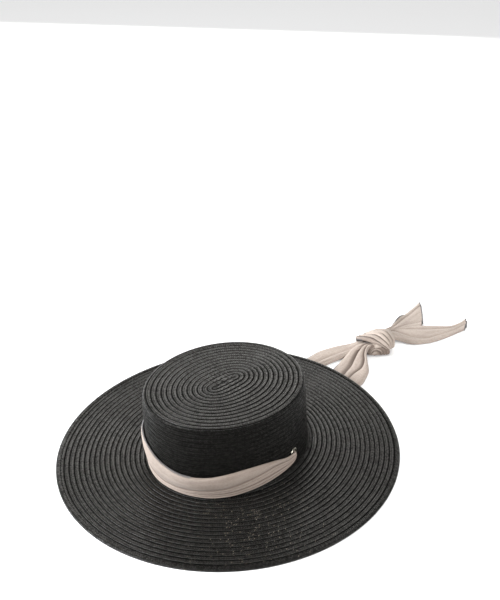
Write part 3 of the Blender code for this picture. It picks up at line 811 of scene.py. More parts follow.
def grow(name, tree, values, mesh=None):
    """Run a tree with these values on an object, and leave its result as a plain mesh."""
    item = add_object(name, mesh or bpy.data.meshes.new(name + "_start"))
    modifier = item.modifiers.new(tree.name, "NODES")
    modifier.node_group = tree
    sockets = {socket.name: socket.identifier for socket in tree.interface.items_tree
               if socket.in_out == "INPUT"}
    for label, value in values.items():
        modifier[sockets[label]] = value
    settle(item)
    return item


def settle(item):
    """Replace an object's mesh by what its modifiers make of it, and remove them."""
    evaluated = item.evaluated_get(bpy.context.evaluated_depsgraph_get())
    result = bpy.data.meshes.new_from_object(evaluated)
    item.modifiers.clear()
    item.data = result


def surface_graph(name):
    """A new material and its graph."""
    material = bpy.data.materials.new(name)
    material.use_nodes = True
    return material, Graph(material.node_tree)


def finish_surface(material, graph, inputs):
    """Give a material its shader with these sockets."""
    shader = graph.add("ShaderNodeBsdfPrincipled", inputs=inputs)
    graph.add("ShaderNodeOutputMaterial", inputs={"Surface": shader})
    return material


def tint(graph, share, low, high):
    """A colour between two colours."""
    return graph.add("ShaderNodeMix", {"data_type": "RGBA"},
                     {0: share, 6: (*low, 1.0), 7: (*high, 1.0)}, output=2)


def noise(graph, place, scale, detail=2.0):
    """Noise between 0 and 1 at a place."""
    return graph.add("ShaderNodeTexNoise", inputs={"Vector": place, "Scale": scale, "Detail": detail})


def plait(first, second):
    """Height of a flat plait, from a place along each of its two sets of strands."""
    under = part((whole(first) + whole(second)) / 2) * 2
    bulge_first = 1 - (part(first) - 0.5) ** 2 * 4
    bulge_second = 1 - (part(second) - 0.5) ** 2 * 4
    return mix(bulge_first, bulge_second * UNDER_STRAND, under)


def darker(colour, share):
    """A colour at a share of its brightness."""
    return [channel * share for channel in colour]


def object_place(graph):
    """The place on the object."""
    return graph.add("ShaderNodeTexCoord").output("Object")


def map_place(graph):
    """The two coordinates of the UV map."""
    both = graph.add("ShaderNodeUVMap", {"uv_map": "UVMap"})
    split = graph.add("ShaderNodeSeparateXYZ", inputs={"Vector": both})
    return split.output("X"), split.output("Y")


def kept(graph, name):
    """A number that the mesh keeps at each point."""
    return graph.add("ShaderNodeAttribute", {"attribute_name": name}, output="Fac")


def bumped(graph, height, distance, strength):
    """A surface direction with a relief of this height."""
    return graph.add("ShaderNodeBump", inputs={
        "Height": height, "Distance": distance, "Strength": strength})


def straw_material(look):
    """Near-black paper braid: a glossy strand over a dull one, each stitch a little different, darker in its
    seams and hollows, partly as painted shade, and with a few painted glints.
    """
    material, graph = surface_graph("sewn_straw")
    u, v = map_place(graph)
    shine = kept(graph, "shine")
    across = part(v)
    first, second = u + across * STRANDS_PER_ROW, u - across * STRANDS_PER_ROW
    height = plait(first, second)
    cell = graph.vector(whole(first), whole(second), whole(v))
    chance = graph.add("ShaderNodeTexWhiteNoise", {"noise_dimensions": "3D"}, {"Vector": cell})
    place = object_place(graph)
    fibre = noise(graph, place, FIBRE_SCALE)
    patch = noise(graph, place, PATCH_SCALE, 3.0)
    # The rows are dark at their seams, and the strand on top of a crossing has most of the gloss
    edge = least(across, (1 - across) * SEAM_SKEW) / (look.seam_share * mix(*SEAM_BY_STITCH, chance))
    seam = (1 - ease(clip(edge))) * mix(SEAM_ON_DULL, 1.0, shine)
    strand = clip(height * STRAND_SLOPE - STRAND_SINK) * (1 - seam)
    glint = strand * mix(*GLINT_BY_STITCH, chance)
    glint = glint * mix(*GLINT_BY_FIBRE, fibre) * mix(*GLINT_BY_PATCH, patch)
    # Near one place of the brim a few stitches get a painted glint: a much lighter colour and more gloss
    far = graph.add("ShaderNodeVectorMath", {"operation": "DISTANCE"}, {0: place, 1: PAINTED_SPARKLE_PLACE}, 1)
    near = clip(1 - far / PAINTED_SPARKLE_SPREAD) * shine
    chosen = chance + near * PAINTED_SPARKLE_GATHER > PAINTED_SPARKLE_CHANCE
    painted_sparkle = chosen * root(near) * (height > PAINTED_SPARKLE_HEIGHT)
    bump = bumped(graph, height * (1 - seam) + fibre * FIBRE_RELIEF, STRAW_RELIEF, 1.0)
    # The dull side of the crown is glossier where it turns away
    facing = graph.add("ShaderNodeLayerWeight", inputs={"Blend": 0.5}, output="Facing")
    gloss = shine * mix(mix(look.side_gloss, look.limb_gloss, facing), 1.0, shine) * look.gloss
    # The straw's colour is darker in the seams and in the hollows between strands: partly the braid's own
    # dark seams, partly painted shade in these hollows. It also differs at random from stitch to stitch.
    shaded = tint(graph, glint, darker(look.straw_colour, SHADED_STRAW_SHARE), look.straw_colour)
    dull = graph.add("ShaderNodeBsdfPrincipled", inputs={
        "Base Color": shaded,
        "Roughness": 0.95,
        "Specular IOR Level": 0.05,
        "Normal": bump})
    glossy = graph.add("ShaderNodeBsdfPrincipled", inputs={
        "Base Color": tint(graph, painted_sparkle, look.straw_colour, look.painted_sparkle_colour),
        "Roughness": clip(0.42 - fibre * 0.16),
        "Specular IOR Level": 0.5,
        "Specular Tint": STRAW_GLOSS_TINT,
        "Normal": bump})
    blend = graph.add("ShaderNodeMixShader", inputs={
        0: clip(glint * gloss + painted_sparkle), 1: dull, 2: glossy})
    graph.add("ShaderNodeOutputMaterial", inputs={"Surface": blend})
    return material


def thread_material(look):
    """Twisted sewing thread."""
    material, graph = surface_graph("hem_thread")
    fibre = noise(graph, object_place(graph), THREAD_SCALE)
    return finish_surface(material, graph, {
        "Base Color": tint(graph, fibre, darker(look.thread_colour, SHADOW_SHARE), look.thread_colour),
        "Roughness": clip(0.55 + (fibre - 0.5) * 0.4)})


def metal_material(look):
    """Brushed pale brass, a little dulled."""
    material, graph = surface_graph("pale_brass")
    place = object_place(graph)
    wear = noise(graph, place, WEAR_SCALE, 4.0)
    cloud = clip(noise(graph, place, TARNISH_SCALE) * 1.2)
    return finish_surface(material, graph, {
        "Base Color": tint(graph, cloud, darker(look.metal_colour, SHADOW_SHARE), look.metal_colour),
        "Metallic": 1.0,
        "Roughness": clip(0.28 + (wear - 0.5) * 0.4, 0.08, 1.0),
        "Normal": bumped(graph, wear, 0.0001, 0.15)})


def cloth_material(look):
    """Soft matt cloth in a fine plain weave, with painted shade in its folds and where it lies under other
    cloth, and faint long wrinkles.
    """
    material, graph = surface_graph("soft_cloth")
    u, v = map_place(graph)
    weave = abs(sin(u * (math.pi / look.thread_pitch))) * abs(sin(v * (math.pi / look.thread_pitch)))
    place = object_place(graph)
    slub = noise(graph, place, SLUB_SCALE)
    drift = noise(graph, place, DRIFT_SCALE, 3.0)
    wrinkle = noise(graph, graph.vector(u * WRINKLES_ACROSS, v * WRINKLES_ALONG), 1.0, 3.0)
    # Painted shade: each point of the mesh keeps how much shade is painted there, in folds and where cloth
    # lies under other cloth
    painted_shade = kept(graph, "crease_depth")
    light = CLOTH_TONE + weave * WEAVE_TONE + (slub - 0.5) * SLUB_TONE
    light = light + (drift - 0.5) * DRIFT_TONE + (wrinkle - 0.5) * WRINKLE_TONE
    tone = clip(light) * (1 - ease(clip(painted_shade)) * PAINTED_SHADE_TONE)
    relief = weave * WEAVE_RELIEF + slub * SLUB_RELIEF + wrinkle * WRINKLE_RELIEF
    return finish_surface(material, graph, {
        "Base Color": tint(graph, tone, look.painted_shade_colour, look.cloth_colour),
        "Roughness": clip(0.75 + (slub - 0.5) * 0.2),
        "Sheen Weight": 0.15,
        "Sheen Roughness": 0.4,
        "Normal": bumped(graph, relief, CLOTH_RELIEF, 0.6)})


def floor_material(look):
    """A plain matt floor with a faint glow, painted light that whitens the soft shadows on it."""
    material, graph = surface_graph("floor")
    return finish_surface(material, graph, {
        "Base Color": (*look.floor_colour, 1.0),
        "Roughness": 0.9,
        # Painted light: the floor glows faintly, which whitens its shadows
        "Emission Color": WHITE,
        "Emission Strength": FLOOR_GLOW})


def add_mesh(name, points, faces, material):
    """An object with a mesh of these points and faces."""
    mesh = bpy.data.meshes.new(name)
    mesh.from_pydata(points, [], faces)
    mesh.update()
    mesh.materials.append(material)
    return add_object(name, mesh)


def dress(item, slot, *nodes):
    """Let a finished piece ride on the hat and stand for CAD nodes."""
    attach(item, "root")
    if nodes:
        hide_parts(*nodes)
    return item


def material_named(name, make, look):
    """A material that several pieces share, made the first time it is asked for."""
    return bpy.data.materials.get(name) or make(look)


def wall_point(angle, inset, up):
    """A point of the crown's wall, inset from its face at a height above its foot."""
    share = up / CROWN_HEIGHT
    out = -TIP_INSET_ALL_ROUND * share - inset
    x = (HALF_WIDTH + out) * math.cos(angle)
    y = (HALF_LENGTH + out) * math.sin(angle) - crown_shift(share, math.sin(angle))
    return np.array((x, y, up + CROWN_TILT * (y + HALF_LENGTH + FOOT_RADIUS)))


def unit(vectors):
    """One direction or many of length 1."""
    return vectors / np.linalg.norm(vectors, axis=-1, keepdims=True)


class EyeletSeat:
    """Where an eyelet sits: its centre on the wall, its directions, and the wall's two faces."""

    def __init__(self, side):
        self.side = side
        self.angle = EYELET_ANGLE if side > 0 else math.pi - EYELET_ANGLE
        self.centre = wall_point(self.angle, 0.0, EYELET_HEIGHT)
        back = wall_point(self.angle + side * PROBE_ANGLE, 0.0, EYELET_HEIGHT) - self.centre
        rise = wall_point(self.angle, 0.0, EYELET_HEIGHT + PROBE_HEIGHT) - self.centre
        self.back = unit(back)
        self.out = unit(np.cross(back, rise) * side)
        self.up = unit(np.cross(self.back, self.out) * -side)

    def place(self, across, rise, height):
        """World point from distances back, up and out from the centre of the eyelet."""
        return self.centre + self.back * across + self.up * rise + self.out * height

    def round_place(self, radius, turn, height):
        """World point at a distance from the eyelet's axis, an angle round it and a height."""
        return self.place(radius * math.cos(turn), radius * math.sin(turn), height)


def smooth(keys, steps):
    """Keys with extra ones between them, on a curve through them all."""
    keys = np.asarray(keys, float)
    last = len(keys) - 1
    result = []
    for i in range(last):
        before, start = keys[max(i - 1, 0)], keys[i]
        end, after = keys[i + 1], keys[min(i + 2, last)]
        for t in np.arange(steps) / steps:
            result.append(0.5 * (
                2 * start + (end - before) * t + (2 * before - 5 * start + 4 * end - after) * t * t
                + (3 * start - before - 3 * end + after) * t ** 3))
    return np.array(result + [keys[-1]])


def lapped_section(folds, tuck_share, fold_shades=None):
    """A cloth's section whose panels lap over each other at the folds, each fold with its own painted shade.

    Each point has its share across, its share of the depth, and how much shade is painted on it.
    """
    points = [(1.0, 0.15, 0.2)]
    start = 1.0
    dark = 0.0
    for i, fold in enumerate(folds):
        tuck = min(tuck_share, (start - fold) * MOST_TUCK)
        points += [(mix(start, fold, share), height, dark * painted_shade)
                   for share, height, painted_shade in PANEL_POINTS]
        points += [(fold + share * tuck, height, painted_shade) for share, height, painted_shade in TUCK_POINTS]
        start = fold
        dark = fold_shades[i] if fold_shades else 1.0
    points += [(mix(start, 0.0, 0.15), 0.55, dark), (start / 2, 0.85, 0.0),
               (start * 0.15, 0.62, 0.0), (0.0, 0.05, 0.3)]
    return smooth(points[::-1], SECTION_STEPS)


def running(steps):
    """The distance run before each of these steps and after the last."""
    return np.concatenate([[0.0], np.cumsum(steps)])


def with_painted_shade(points, section):
    """Ring points with the section's painted shade as their fourth number."""
    return np.concatenate([np.asarray(points), section[:, 2:]], axis=1)


def cloth_strip(name, rings, look):
    """A strip of cloth from rings of equally many points, each with its painted shade. Its UV is in metres.
    """
    painted_shades = clip(rings[..., 3])
    rings = rings[..., :3]
    count, width = rings.shape[:2]
    along = np.linalg.norm(np.diff(rings, axis=0), axis=2).mean(axis=1)
    across = np.linalg.norm(np.diff(rings, axis=1), axis=2).mean(axis=0)
    u, v = running(across), running(along)
    faces = [(i * width + j, i * width + j + 1, (i + 1) * width + j + 1, (i + 1) * width + j)
             for i in range(count - 1) for j in range(width - 1)]
    cloth = material_named("soft_cloth", cloth_material, look)
    item = add_mesh(name, rings.reshape(-1, 3).tolist(), faces, cloth)
    layer = item.data.uv_layers.new(name="UVMap")
    corners = np.array(faces).ravel()
    layer.data.foreach_set("uv", np.stack([u[corners % width], v[corners // width]], axis=1).ravel())
    painted_shade = item.data.attributes.new("crease_depth", "FLOAT", "POINT")
    painted_shade.data.foreach_set("value", painted_shades.ravel())
    item.data.shade_smooth()
    wall = item.modifiers.new("cloth_thickness", "SOLIDIFY")
    wall.thickness = look.cloth_thickness
    wall.offset = 0.0
    return item


def in_bundle(section, centre, across_way, rise_way, half_width, half_depth):
    """A section drawn together into a round bundle about a centre."""
    across = section[:, :1] * 2 - 1
    rise = (section[:, 1:2] * 2 - 1) * np.sqrt(1 - BUNDLE_ROUNDING * clip(across, -1.0) ** 2)
    return with_painted_shade(centre + across_way * half_width * across + rise_way * half_depth * rise, section)


def band_turn(seat, section):
    """Rings of the band where it comes out of an eyelet and turns to the front of the crown."""
    pivot_height = EYELET_FACE + EYELET_METAL + GAP
    start = seat.place(0.0, -BUNDLE_DROP, (GAP - STRAW_WALL) / 2)
    rings = [in_bundle(section, start, seat.up, seat.back, BUNDLE_RADIUS, BUNDLE_RADIUS)]
    for degrees, swell, flatten, drop in BAND_TURN_ROWS:
        turn = math.radians(degrees)
        facing = seat.out * math.cos(turn) + seat.back * math.sin(turn)
        pivot = seat.place(-LIP_CLEARANCE - BUNDLE_RADIUS, -BUNDLE_DROP * drop, pivot_height)
        half_depth = BUNDLE_RADIUS * flatten
        centre = pivot + facing * (LIP_CLEARANCE + half_depth)
        rings.append(in_bundle(section, centre, seat.up, facing, BUNDLE_RADIUS * swell, half_depth))
    return rings


def band_ring(turn, low, high, stand, depth, section):
    """A ring of the band that lies on the crown's wall, clear of its foot."""
    angle = EYELET_ANGLE - (math.pi + 2 * EYELET_ANGLE) * turn
    floor = STRAW_WALL + GAP
    ring = []
    for across, height in section[:, :2]:
        up = floor + mix(low, high, across) * BAND_HEIGHT
        foot = max(0.0, 1 - (up - STRAW_WALL) / FOOT_RADIUS)
        flare = FOOT_RADIUS * (1 - math.sqrt(1 - foot * foot))
        out = BAND_STANDOFF + stand * STACK + flare + height * depth * STACK
        ring.append(wall_point(angle, -out, up))
    return with_painted_shade(ring, section)


def row_section(valleys, left, right):
    """The lapped section of a strip between two points of its edges."""
    return lapped_section(valleys[::-1], CLOTH_TUCK / np.linalg.norm(right - left))


def strip_ring(left, right, rise, depth, valleys):
    """A ring of a cloth strip between two points of its edges."""
    section = row_section(valleys, left, right)
    across, height = section[:, :1], section[:, 1:2]
    upward = np.array((0.0, 0.0, 1.0))
    return with_painted_shade(mix(left, right, across) + upward * (rise + height * depth), section)


def row_ring(row, place, unit_of_rise):
    """A ring of a cloth strip from its table's row. place turns a row's pair into a point."""
    left_pair, right_pair, rise, depth, valleys = row[:2], row[2:4], row[4], row[5], row[6:]
    return strip_ring(place(*left_pair), place(*right_pair), CLOTH_REST + rise * unit_of_rise,
                      depth * STACK, valleys)


def strand_place(across, run):
    """Plan position of a point of a strand, from the table's across and run."""
    if run < 0:
        y = (1 + run) * HALF_LENGTH
    elif run < 1:
        y = HALF_LENGTH + run * BRIM_WIDTH
    else:
        y = HALF_LENGTH + BRIM_WIDTH + (run - 1) * STRAND_REACH
    return np.array((across * HALF_WIDTH, y, 0.0))


def knot_place(across, along, height=0.0):
    """World point at distances to the right of the knot's axis, along it from its middle, and up."""
    x = KNOT_SIDE + across * math.cos(KNOT_TURN) + along * math.sin(KNOT_TURN)
    y = KNOT_START + KNOT_LENGTH / 2 - across * math.sin(KNOT_TURN) + along * math.cos(KNOT_TURN)
    return np.array((x, y, height))


def strand_rings(rows, seat, painted_shade):
    """Rings of a strand from an eyelet, under the brim's back, to the knot."""
    across_way = seat.back * seat.side
    inside = EYELET_INSIDE - EYELET_METAL - GAP
    first = row_section(rows[0][6:], strand_place(*rows[0][:2]), strand_place(*rows[0][2:4]))
    rings = [
        in_bundle(first, seat.place(0.0, -BUNDLE_DROP, height), across_way, seat.up,
                  BUNDLE_RADIUS, BUNDLE_RADIUS)
        for height in (-(STRAW_WALL + GAP) / 2, inside, inside - BUNDLE_TAIL)]
    rings += [row_ring(row, strand_place, EYELET_HEIGHT) for row in rows]
    rings = smooth(rings, STRIP_STEPS)
    # Painted shade: the strand's folds take their own share of it, and more is painted towards the knot,
    # where the strand goes under it
    rings[..., 3] *= painted_shade
    shade(rings[-STRAND_SHADE_ROWS * STRIP_STEPS:])
    return rings


def shade(rings):
    """Paint shade into a strip, deeper towards its end, where it goes under the knot."""
    rings[..., 3] += KNOT_SHADE * np.linspace(0.0, 1.0, len(rings))[:, None] ** 2


def tail_rings(rows, length, roots):
    """Rings of a tail from the knot to its hemmed end, whose left corner curls up."""
    def place(across, along):
        return knot_place(across * TAIL_SPREAD, KNOT_LENGTH / 2 + GAP + along * length)

    start = TAIL_ROOT_ALONG * KNOT_LENGTH
    left, right = (knot_place(share * KNOT_WIDTH, start) for share in roots)
    rings = [strip_ring(left, right, TAIL_ROOT_RISE, TAIL_ROOT_DEPTH, rows[0][6:])]
    rings += [row_ring(row, place, KNOT_HEIGHT) for row in rows]
    rings = smooth(rings, STRIP_STEPS)
    share = np.linspace(0.0, 1.0, len(rings))[:, None]
    across = np.linspace(0.0, 1.0, rings.shape[1])
    # Painted shade: the folds' shade fades from the root to the end, and more is painted at the root, where
    # the tail comes out from under the wrap
    rings[..., 3] *= mix(TAIL_ROOT_PAINTED_SHADE, TAIL_END_PAINTED_SHADE, share)
    shade(rings[:TAIL_SHADE_ROWS * STRIP_STEPS][::-1])
    if rows is TAIL_UPPER_ROWS:
        first, last = TAIL_SIDE_HEM
        bow = np.sin(clip((share - first) / (last - first)) * math.pi)
        rings[..., 2] += bow * clip(1 - across * TAIL_SIDE_FADE) ** 2 * TAIL_SIDE_CURL
    late = clip((share - TAIL_CURL_START) / (1 - TAIL_CURL_START)) ** 2
    onward = unit(rings[-1, :, :3].mean(axis=0) - rings[-STRIP_STEPS, :, :3].mean(axis=0))
    rings[..., :3] += onward * (late * TAIL_END_BOW * 4 * across * (1 - across))[..., None]
    rings[..., 2] += late * clip(1 - across * TAIL_CURL_FADE) ** 2 * TAIL_CURL
    waves = np.sin(across * math.tau * TAIL_WAVES) + 1
    rings[..., 2] += late * waves * TAIL_CURL * TAIL_WAVE_SHARE
    return rings


def read_table(rows, key):
    """The other columns of a table at a key that lies between those of its first column."""
    keys, *columns = np.array(rows).T
    return [np.interp(key, keys, column) for column in columns]


def knot_point(along, turn, out, closed=0.0):
    """A point over the knot at a share along it, an angle round it and a height over its body.

    closed draws it in, sideways and from above, by a share of the knot's half width and height.
    """
    width, height, side = read_table(KNOT_ROWS, along)
    across = side * KNOT_WIDTH + math.cos(turn) * (width * KNOT_WIDTH / 2 * (1 - closed) + out)
    back = ease(clip((turn - KNOT_BACK_START) / KNOT_BACK_SPREAD))
    top = height * KNOT_HEIGHT * mix(1.0, KNOT_BACK_HEIGHT, back)
    rise = top / 2 * (1 + math.sin(turn)) + out * math.sin(turn)
    rise -= closed * top / 2 * max(math.sin(turn), 0.0)
    return knot_place(across, along * KNOT_LENGTH, max(rise, CLOTH_REST))


def body_ring(section, place):
    """A ring over the knot. place turns a section point's share across and height into a point."""
    return with_painted_shade([place(across, height) for across, height in section[:, :2]], section)


def knot_wrap_rings():
    """Rings of the cloth that wraps slantwise over the knot."""
    section = lapped_section(WRAP_FOLDS, WRAP_TUCK)
    rings = []
    for degrees in range(*WRAP_TURN):
        near, far = read_table(WRAP_ROWS, degrees)
        rings.append(body_ring(section, lambda across, height: knot_point(
            mix(near, far, across), math.radians(degrees), (height - WRAP_SINK) * WRAP_DEPTH)))
    rings = np.array(rings)
    # Painted shade along the wrap's near edge and its underside
    rings[:, :WRAP_EDGE_POINTS, 3] += KNOT_SHADE
    return rings


def knot_lobe_rings():
    """Rings of the loop that shows under the wrap, with folds that curve round its middle."""
    section = lapped_section(LOBE_FOLDS, LOBE_TUCK, LOBE_FOLD_SHADES)
    facing = knot_place(*LOBE_FACING) - knot_place(0.0, 0.0)
    middle = lobe_place(LOBE_MIDDLE)
    rings = []
    for row in LOBE_ROWS:
        points = mix(middle, lobe_place(row), section[:, :1]) + facing * section[:, 1:2] * LOBE_DEPTH
        points[:, 2] = np.maximum(points[:, 2], CLOTH_REST)
        rings.append(with_painted_shade(points, section))
    rings = smooth(rings, LOBE_STEPS)
    # Painted shade: more towards the loop's end and on its outer part, under the wrap, and some over all of
    # it
    late = np.linspace(0.0, 1.0, len(rings))[:, None] ** 3
    outer = clip(section[:, 0] * LOBE_EDGE_SLOPE - LOBE_EDGE_SINK)
    rings[..., 3] += outer + late + LOBE_SHADE
    return rings


def lobe_place(row):
    """World point of a row of the knot's loop."""
    return knot_place(row[0] * KNOT_WIDTH, row[1] * KNOT_LENGTH, row[2] * KNOT_HEIGHT)


def knot_core_rings():
    """Rings of the cloth inside the wrap, with folds that run along the knot to its drawn-in end."""
    section = lapped_section(CORE_FOLDS, CORE_TUCK)
    rings = []
    for share in np.linspace(0.0, 1.0, CORE_RINGS):
        along = mix(*CORE_REACH, share)
        closed = ease(clip((share - CORE_CLOSE_START) / (1 - CORE_CLOSE_START))) * CORE_CLOSE
        rings.append(body_ring(section, lambda across, height: knot_point(
            along, mix(*CORE_TURN, across), (height - CORE_SINK) * CORE_DEPTH, closed)))
    return np.array(rings)


def overlock(edge, inward, upward, look):
    """Points of a thread that winds round a cloth's edge."""
    run = running(np.linalg.norm(np.diff(edge, axis=0), axis=1))
    count = max(int(run[-1] / look.hem_pitch), 2) * HEM_POINTS_PER_TURN
    places = np.linspace(0.0, run[-1], count + 1)
    turns = (np.arange(count + 1) / HEM_POINTS_PER_TURN * math.tau)[:, None]
    edge, inward, upward = (
        np.stack([np.interp(places, run, values[:, axis]) for axis in range(3)], axis=1)
        for values in (edge, inward, upward))
    reach = look.hem_width / 2
    return edge + inward * reach * (HEM_INSET - np.cos(turns)) + upward * np.sin(turns) * HEM_HEIGHT


def add_hem(name, edge, neighbour, look):
    """A thread sewn over an edge, whose neighbour is the next line of points inside the cloth."""
    edge, neighbour = edge[:, :3], neighbour[:, :3]
    inward = unit(neighbour - edge)
    upward = unit(np.cross(np.gradient(edge, axis=0), inward))
    points = overlock(edge, inward, upward, look)
    points[:, 2] = np.maximum(points[:, 2], look.thread_radius)
    path = bpy.data.meshes.new(name + "_path")
    path.from_pydata(points.tolist(), [(i, i + 1) for i in range(len(points) - 1)], [])
    hem = grow(name, bpy.data.node_groups.get("hem_thread") or hem_tree(), {
        "Thread Radius": look.thread_radius,
        "Material": material_named("hem_thread", thread_material, look)}, path)
    return dress(hem, "scarf_cloth")


def side_hem(name, rings, shares, look, side=0):
    """A hem between two shares of a strip's length, on its low side (0) or its high side (-1)."""
    first, last = (int(len(rings) * share) for share in shares)
    shown = rings[first:last]
    return add_hem(name, shown[:, side], shown[:, 3 if side == 0 else -4], look)


def length_of(name, description, default, low, high):
    """A property that holds a length."""
    return FloatProperty(name=name, description=description, default=default, min=low, max=high,
                         precision=5, subtype="DISTANCE", unit="LENGTH")


def colour_of(name, description, default):
    """A property that holds a colour."""
    return FloatVectorProperty(name=name, description=description, default=default, size=3,
                               min=0.0, max=1.0, subtype="COLOR")


def strength_of(name, description, default):
    """A property that holds a plain factor."""
    return FloatProperty(name=name, description=description, default=default, min=0.0, max=8.0)


def power_of(name, description, default):
    """A property that holds the power of a light."""
    return FloatProperty(name=name, description=description, default=default, min=0.0, soft_max=400.0,
                         subtype="POWER", unit="POWER")


class StrawLook(bpy.types.PropertyGroup):
    """Sizes and colours of the sewn braid."""

    crown_rows: IntProperty(
        name="Crown Rows", description="Rows of braid from the middle of the tip to the foot",
        default=30, min=4, max=60)
    brim_rows: IntProperty(
        name="Brim Rows", description="Rows of braid across the brim", default=18, min=3, max=40)
    groove_depth: length_of(
        "Groove Depth", "Depth of the seam between two rows", 0.00095, 0.0, 0.0010)
    straw_colour: colour_of("Straw", "Colour of the lit strands of the braid", (0.0092, 0.0087, 0.0076))
    # Painted glint: the light colour of the few stitches near one place of the brim
    painted_sparkle_colour: colour_of(
        "Sparkle", "Colour of the few stitches that catch the light", (0.30, 0.26, 0.20))
    gloss: strength_of("Gloss", "How much of the braid's top strands is glossy", 1.75)
    side_gloss: strength_of("Side Gloss", "Share of the gloss where dull braid is seen straight on", 0.35)
    limb_gloss: strength_of("Limb Gloss", "Share of the gloss where dull braid is seen at a slant", 4.2)
    seam_share: FloatProperty(
        name="Seam Share", description="Share of a row that each of its two dark edges takes",
        default=0.205, min=0.01, max=0.5, subtype="FACTOR")
    roll_width: length_of("Edge Roll Width", "Width of the rolled edge of the brim", 0.0054, 0.002, 0.012)
    roll_height: length_of(
        "Edge Roll Height", "Thickness of the rolled edge of the brim", 0.0027, 0.002, 0.006)
    stitch_pitch: length_of(
        "Stitch Pitch", "Distance from one stitch of the edge roll to the next", 0.0045, 0.001, 0.02)


class EyeletLook(bpy.types.PropertyGroup):
    """The two metal eyelets."""

    metal_colour: colour_of("Metal", "Colour of the eyelets", (0.62, 0.59, 0.50))
    flange_radius: length_of(
        "Flange Radius", "Radius of the rolled rim outside the crown", 0.0062, 0.0052, 0.007)


class ScarfLook(bpy.types.PropertyGroup):
    """Sizes and colours of the scarf."""

    cloth_colour: colour_of("Cloth", "Colour of the scarf's cloth", (0.50, 0.420, 0.362))
    # The colour that painted shade darkens the cloth towards
    painted_shade_colour: colour_of("Crease", "Colour of the cloth down in its folds", (0.13, 0.091, 0.070))
    cloth_thickness: length_of(
        "Cloth Thickness", "Thickness of one layer of the scarf", 0.0004, 0.0001, 0.001)
    cloth_width: length_of("Cloth Width", "Flat width that the scarf was cut to", 0.07, 0.03, 0.2)
    thread_colour: colour_of(
        "Hem Thread", "Colour of the thread along the scarf's edges", (0.15, 0.144, 0.146))
    thread_radius: length_of("Hem Thread Radius", "Radius of the hem's thread", 0.00045, 0.0001, 0.001)
    hem_width: length_of(
        "Hem Width", "How far the hem's thread reaches over the cloth", 0.0024, 0.0005, 0.006)
    hem_pitch: length_of(
        "Hem Pitch", "Distance from one turn of the hem's thread to the next", 0.0015, 0.0004, 0.005)
    thread_pitch: length_of(
        "Thread Pitch", "Distance from one thread of the weave to the next", 0.0005, 0.0002, 0.002)


class StageLook(bpy.types.PropertyGroup):
    """The camera, the light and the floor."""

    lens: FloatProperty(
        name="Lens", description="Focal length on a 36 mm sensor",
        default=48.52, min=10.0, max=300.0, subtype="DISTANCE_CAMERA", unit="CAMERA")
    key_power: power_of("Key Light", "Power of the soft light from the left", 95.0)
    fill_power: power_of("Fill Light", "Power of the soft light from the right", 32.0)
    back_power: power_of(
        "Back Light", "Power of the broad panel behind the hat, which its straw reflects", 53.0)
    surround: strength_of("Surround", "Strength of the even light from all sides", 0.25)
    overhead: strength_of("Overhead", "Strength of the even light from above", 1.6)
    floor_colour: colour_of("Floor", "Colour of the floor", (0.95, 0.95, 0.95))


class HAT_OT_crown(bpy.types.Operator):
    """Lay the crown's spiral of braid from the middle of the tip down to the foot"""

    bl_idname = "braidhat.crown"
    bl_label = "Braid Crown"

    def execute(self, context):
        look = context.scene.braidhat_straw
        straw = material_named("sewn_straw", straw_material, look)
        tree = braid_tree("crown_braid", crown_place, crown_girth, crown_shine)
        crown = grow("crown_braid", tree, {
            "Rows": look.crown_rows,
            "Segments": CROWN_SEGMENTS,
            "Run": CROWN_RUN,
            "Groove Depth": look.groove_depth,
            "Material": straw})
        for side in (1, -1):
            cut_hole(crown, EyeletSeat(side), straw)
        dress(crown, "straw_braid", "crown")
        return {"FINISHED"}


class HAT_OT_brim(bpy.types.Operator):
    """Carry the spiral of braid on over the brim, and roll its edge"""

    bl_idname = "braidhat.brim"
    bl_label = "Braid Brim"

    def execute(self, context):
        look = context.scene.braidhat_straw
        straw = material_named("sewn_straw", straw_material, look)
        tree = braid_tree("brim_braid", brim_place, brim_girth, brim_shine)
        brim = grow("brim_braid", tree, {
            "Rows": look.brim_rows,
            "Segments": BRIM_SEGMENTS,
            "Run": BRIM_RUN,
            "Groove Depth": look.groove_depth,
            "Core": 0.0,
            "Material": straw})
        dress(brim, "straw_braid", "brim")
        roll = grow("brim_edge_roll", edge_roll_tree(), {
            "Width": look.roll_width,
            "Height": look.roll_height,
            "Plaits": round(brim_girth(BRIM_RUN) / PLAIT_PITCH),
            "Material": straw})
        dress(roll, "straw_braid")
        stitches = grow("brim_edge_stitches", stitch_row_tree(), {
            "Run": BRIM_RUN - look.roll_width,
            "Pitch": look.stitch_pitch,
            "Material": straw})
        dress(stitches, "straw_braid")
        return {"FINISHED"}


def lathe(name, seat, section, segments, material):
    """A closed ring swept round an eyelet's axis, from radii and heights."""
    count = len(section)
    points = [seat.round_place(radius, math.tau * i / segments, height)
              for i in range(segments) for radius, height in section]
    faces = [(i * count + j, i * count + (j + 1) % count,
              (i + 1) % segments * count + (j + 1) % count, (i + 1) % segments * count + j)
             for i in range(segments) for j in range(count)]
    item = add_mesh(name, points, faces, material)
    face_outwards(item.data)
    item.data.shade_smooth()
    return item


def face_outwards(mesh):
    """Turn the faces of a closed mesh to the outside."""
    body = bmesh.new()
    body.from_mesh(mesh)
    bmesh.ops.recalc_face_normals(body, faces=body.faces)
    body.to_mesh(mesh)
    body.free()


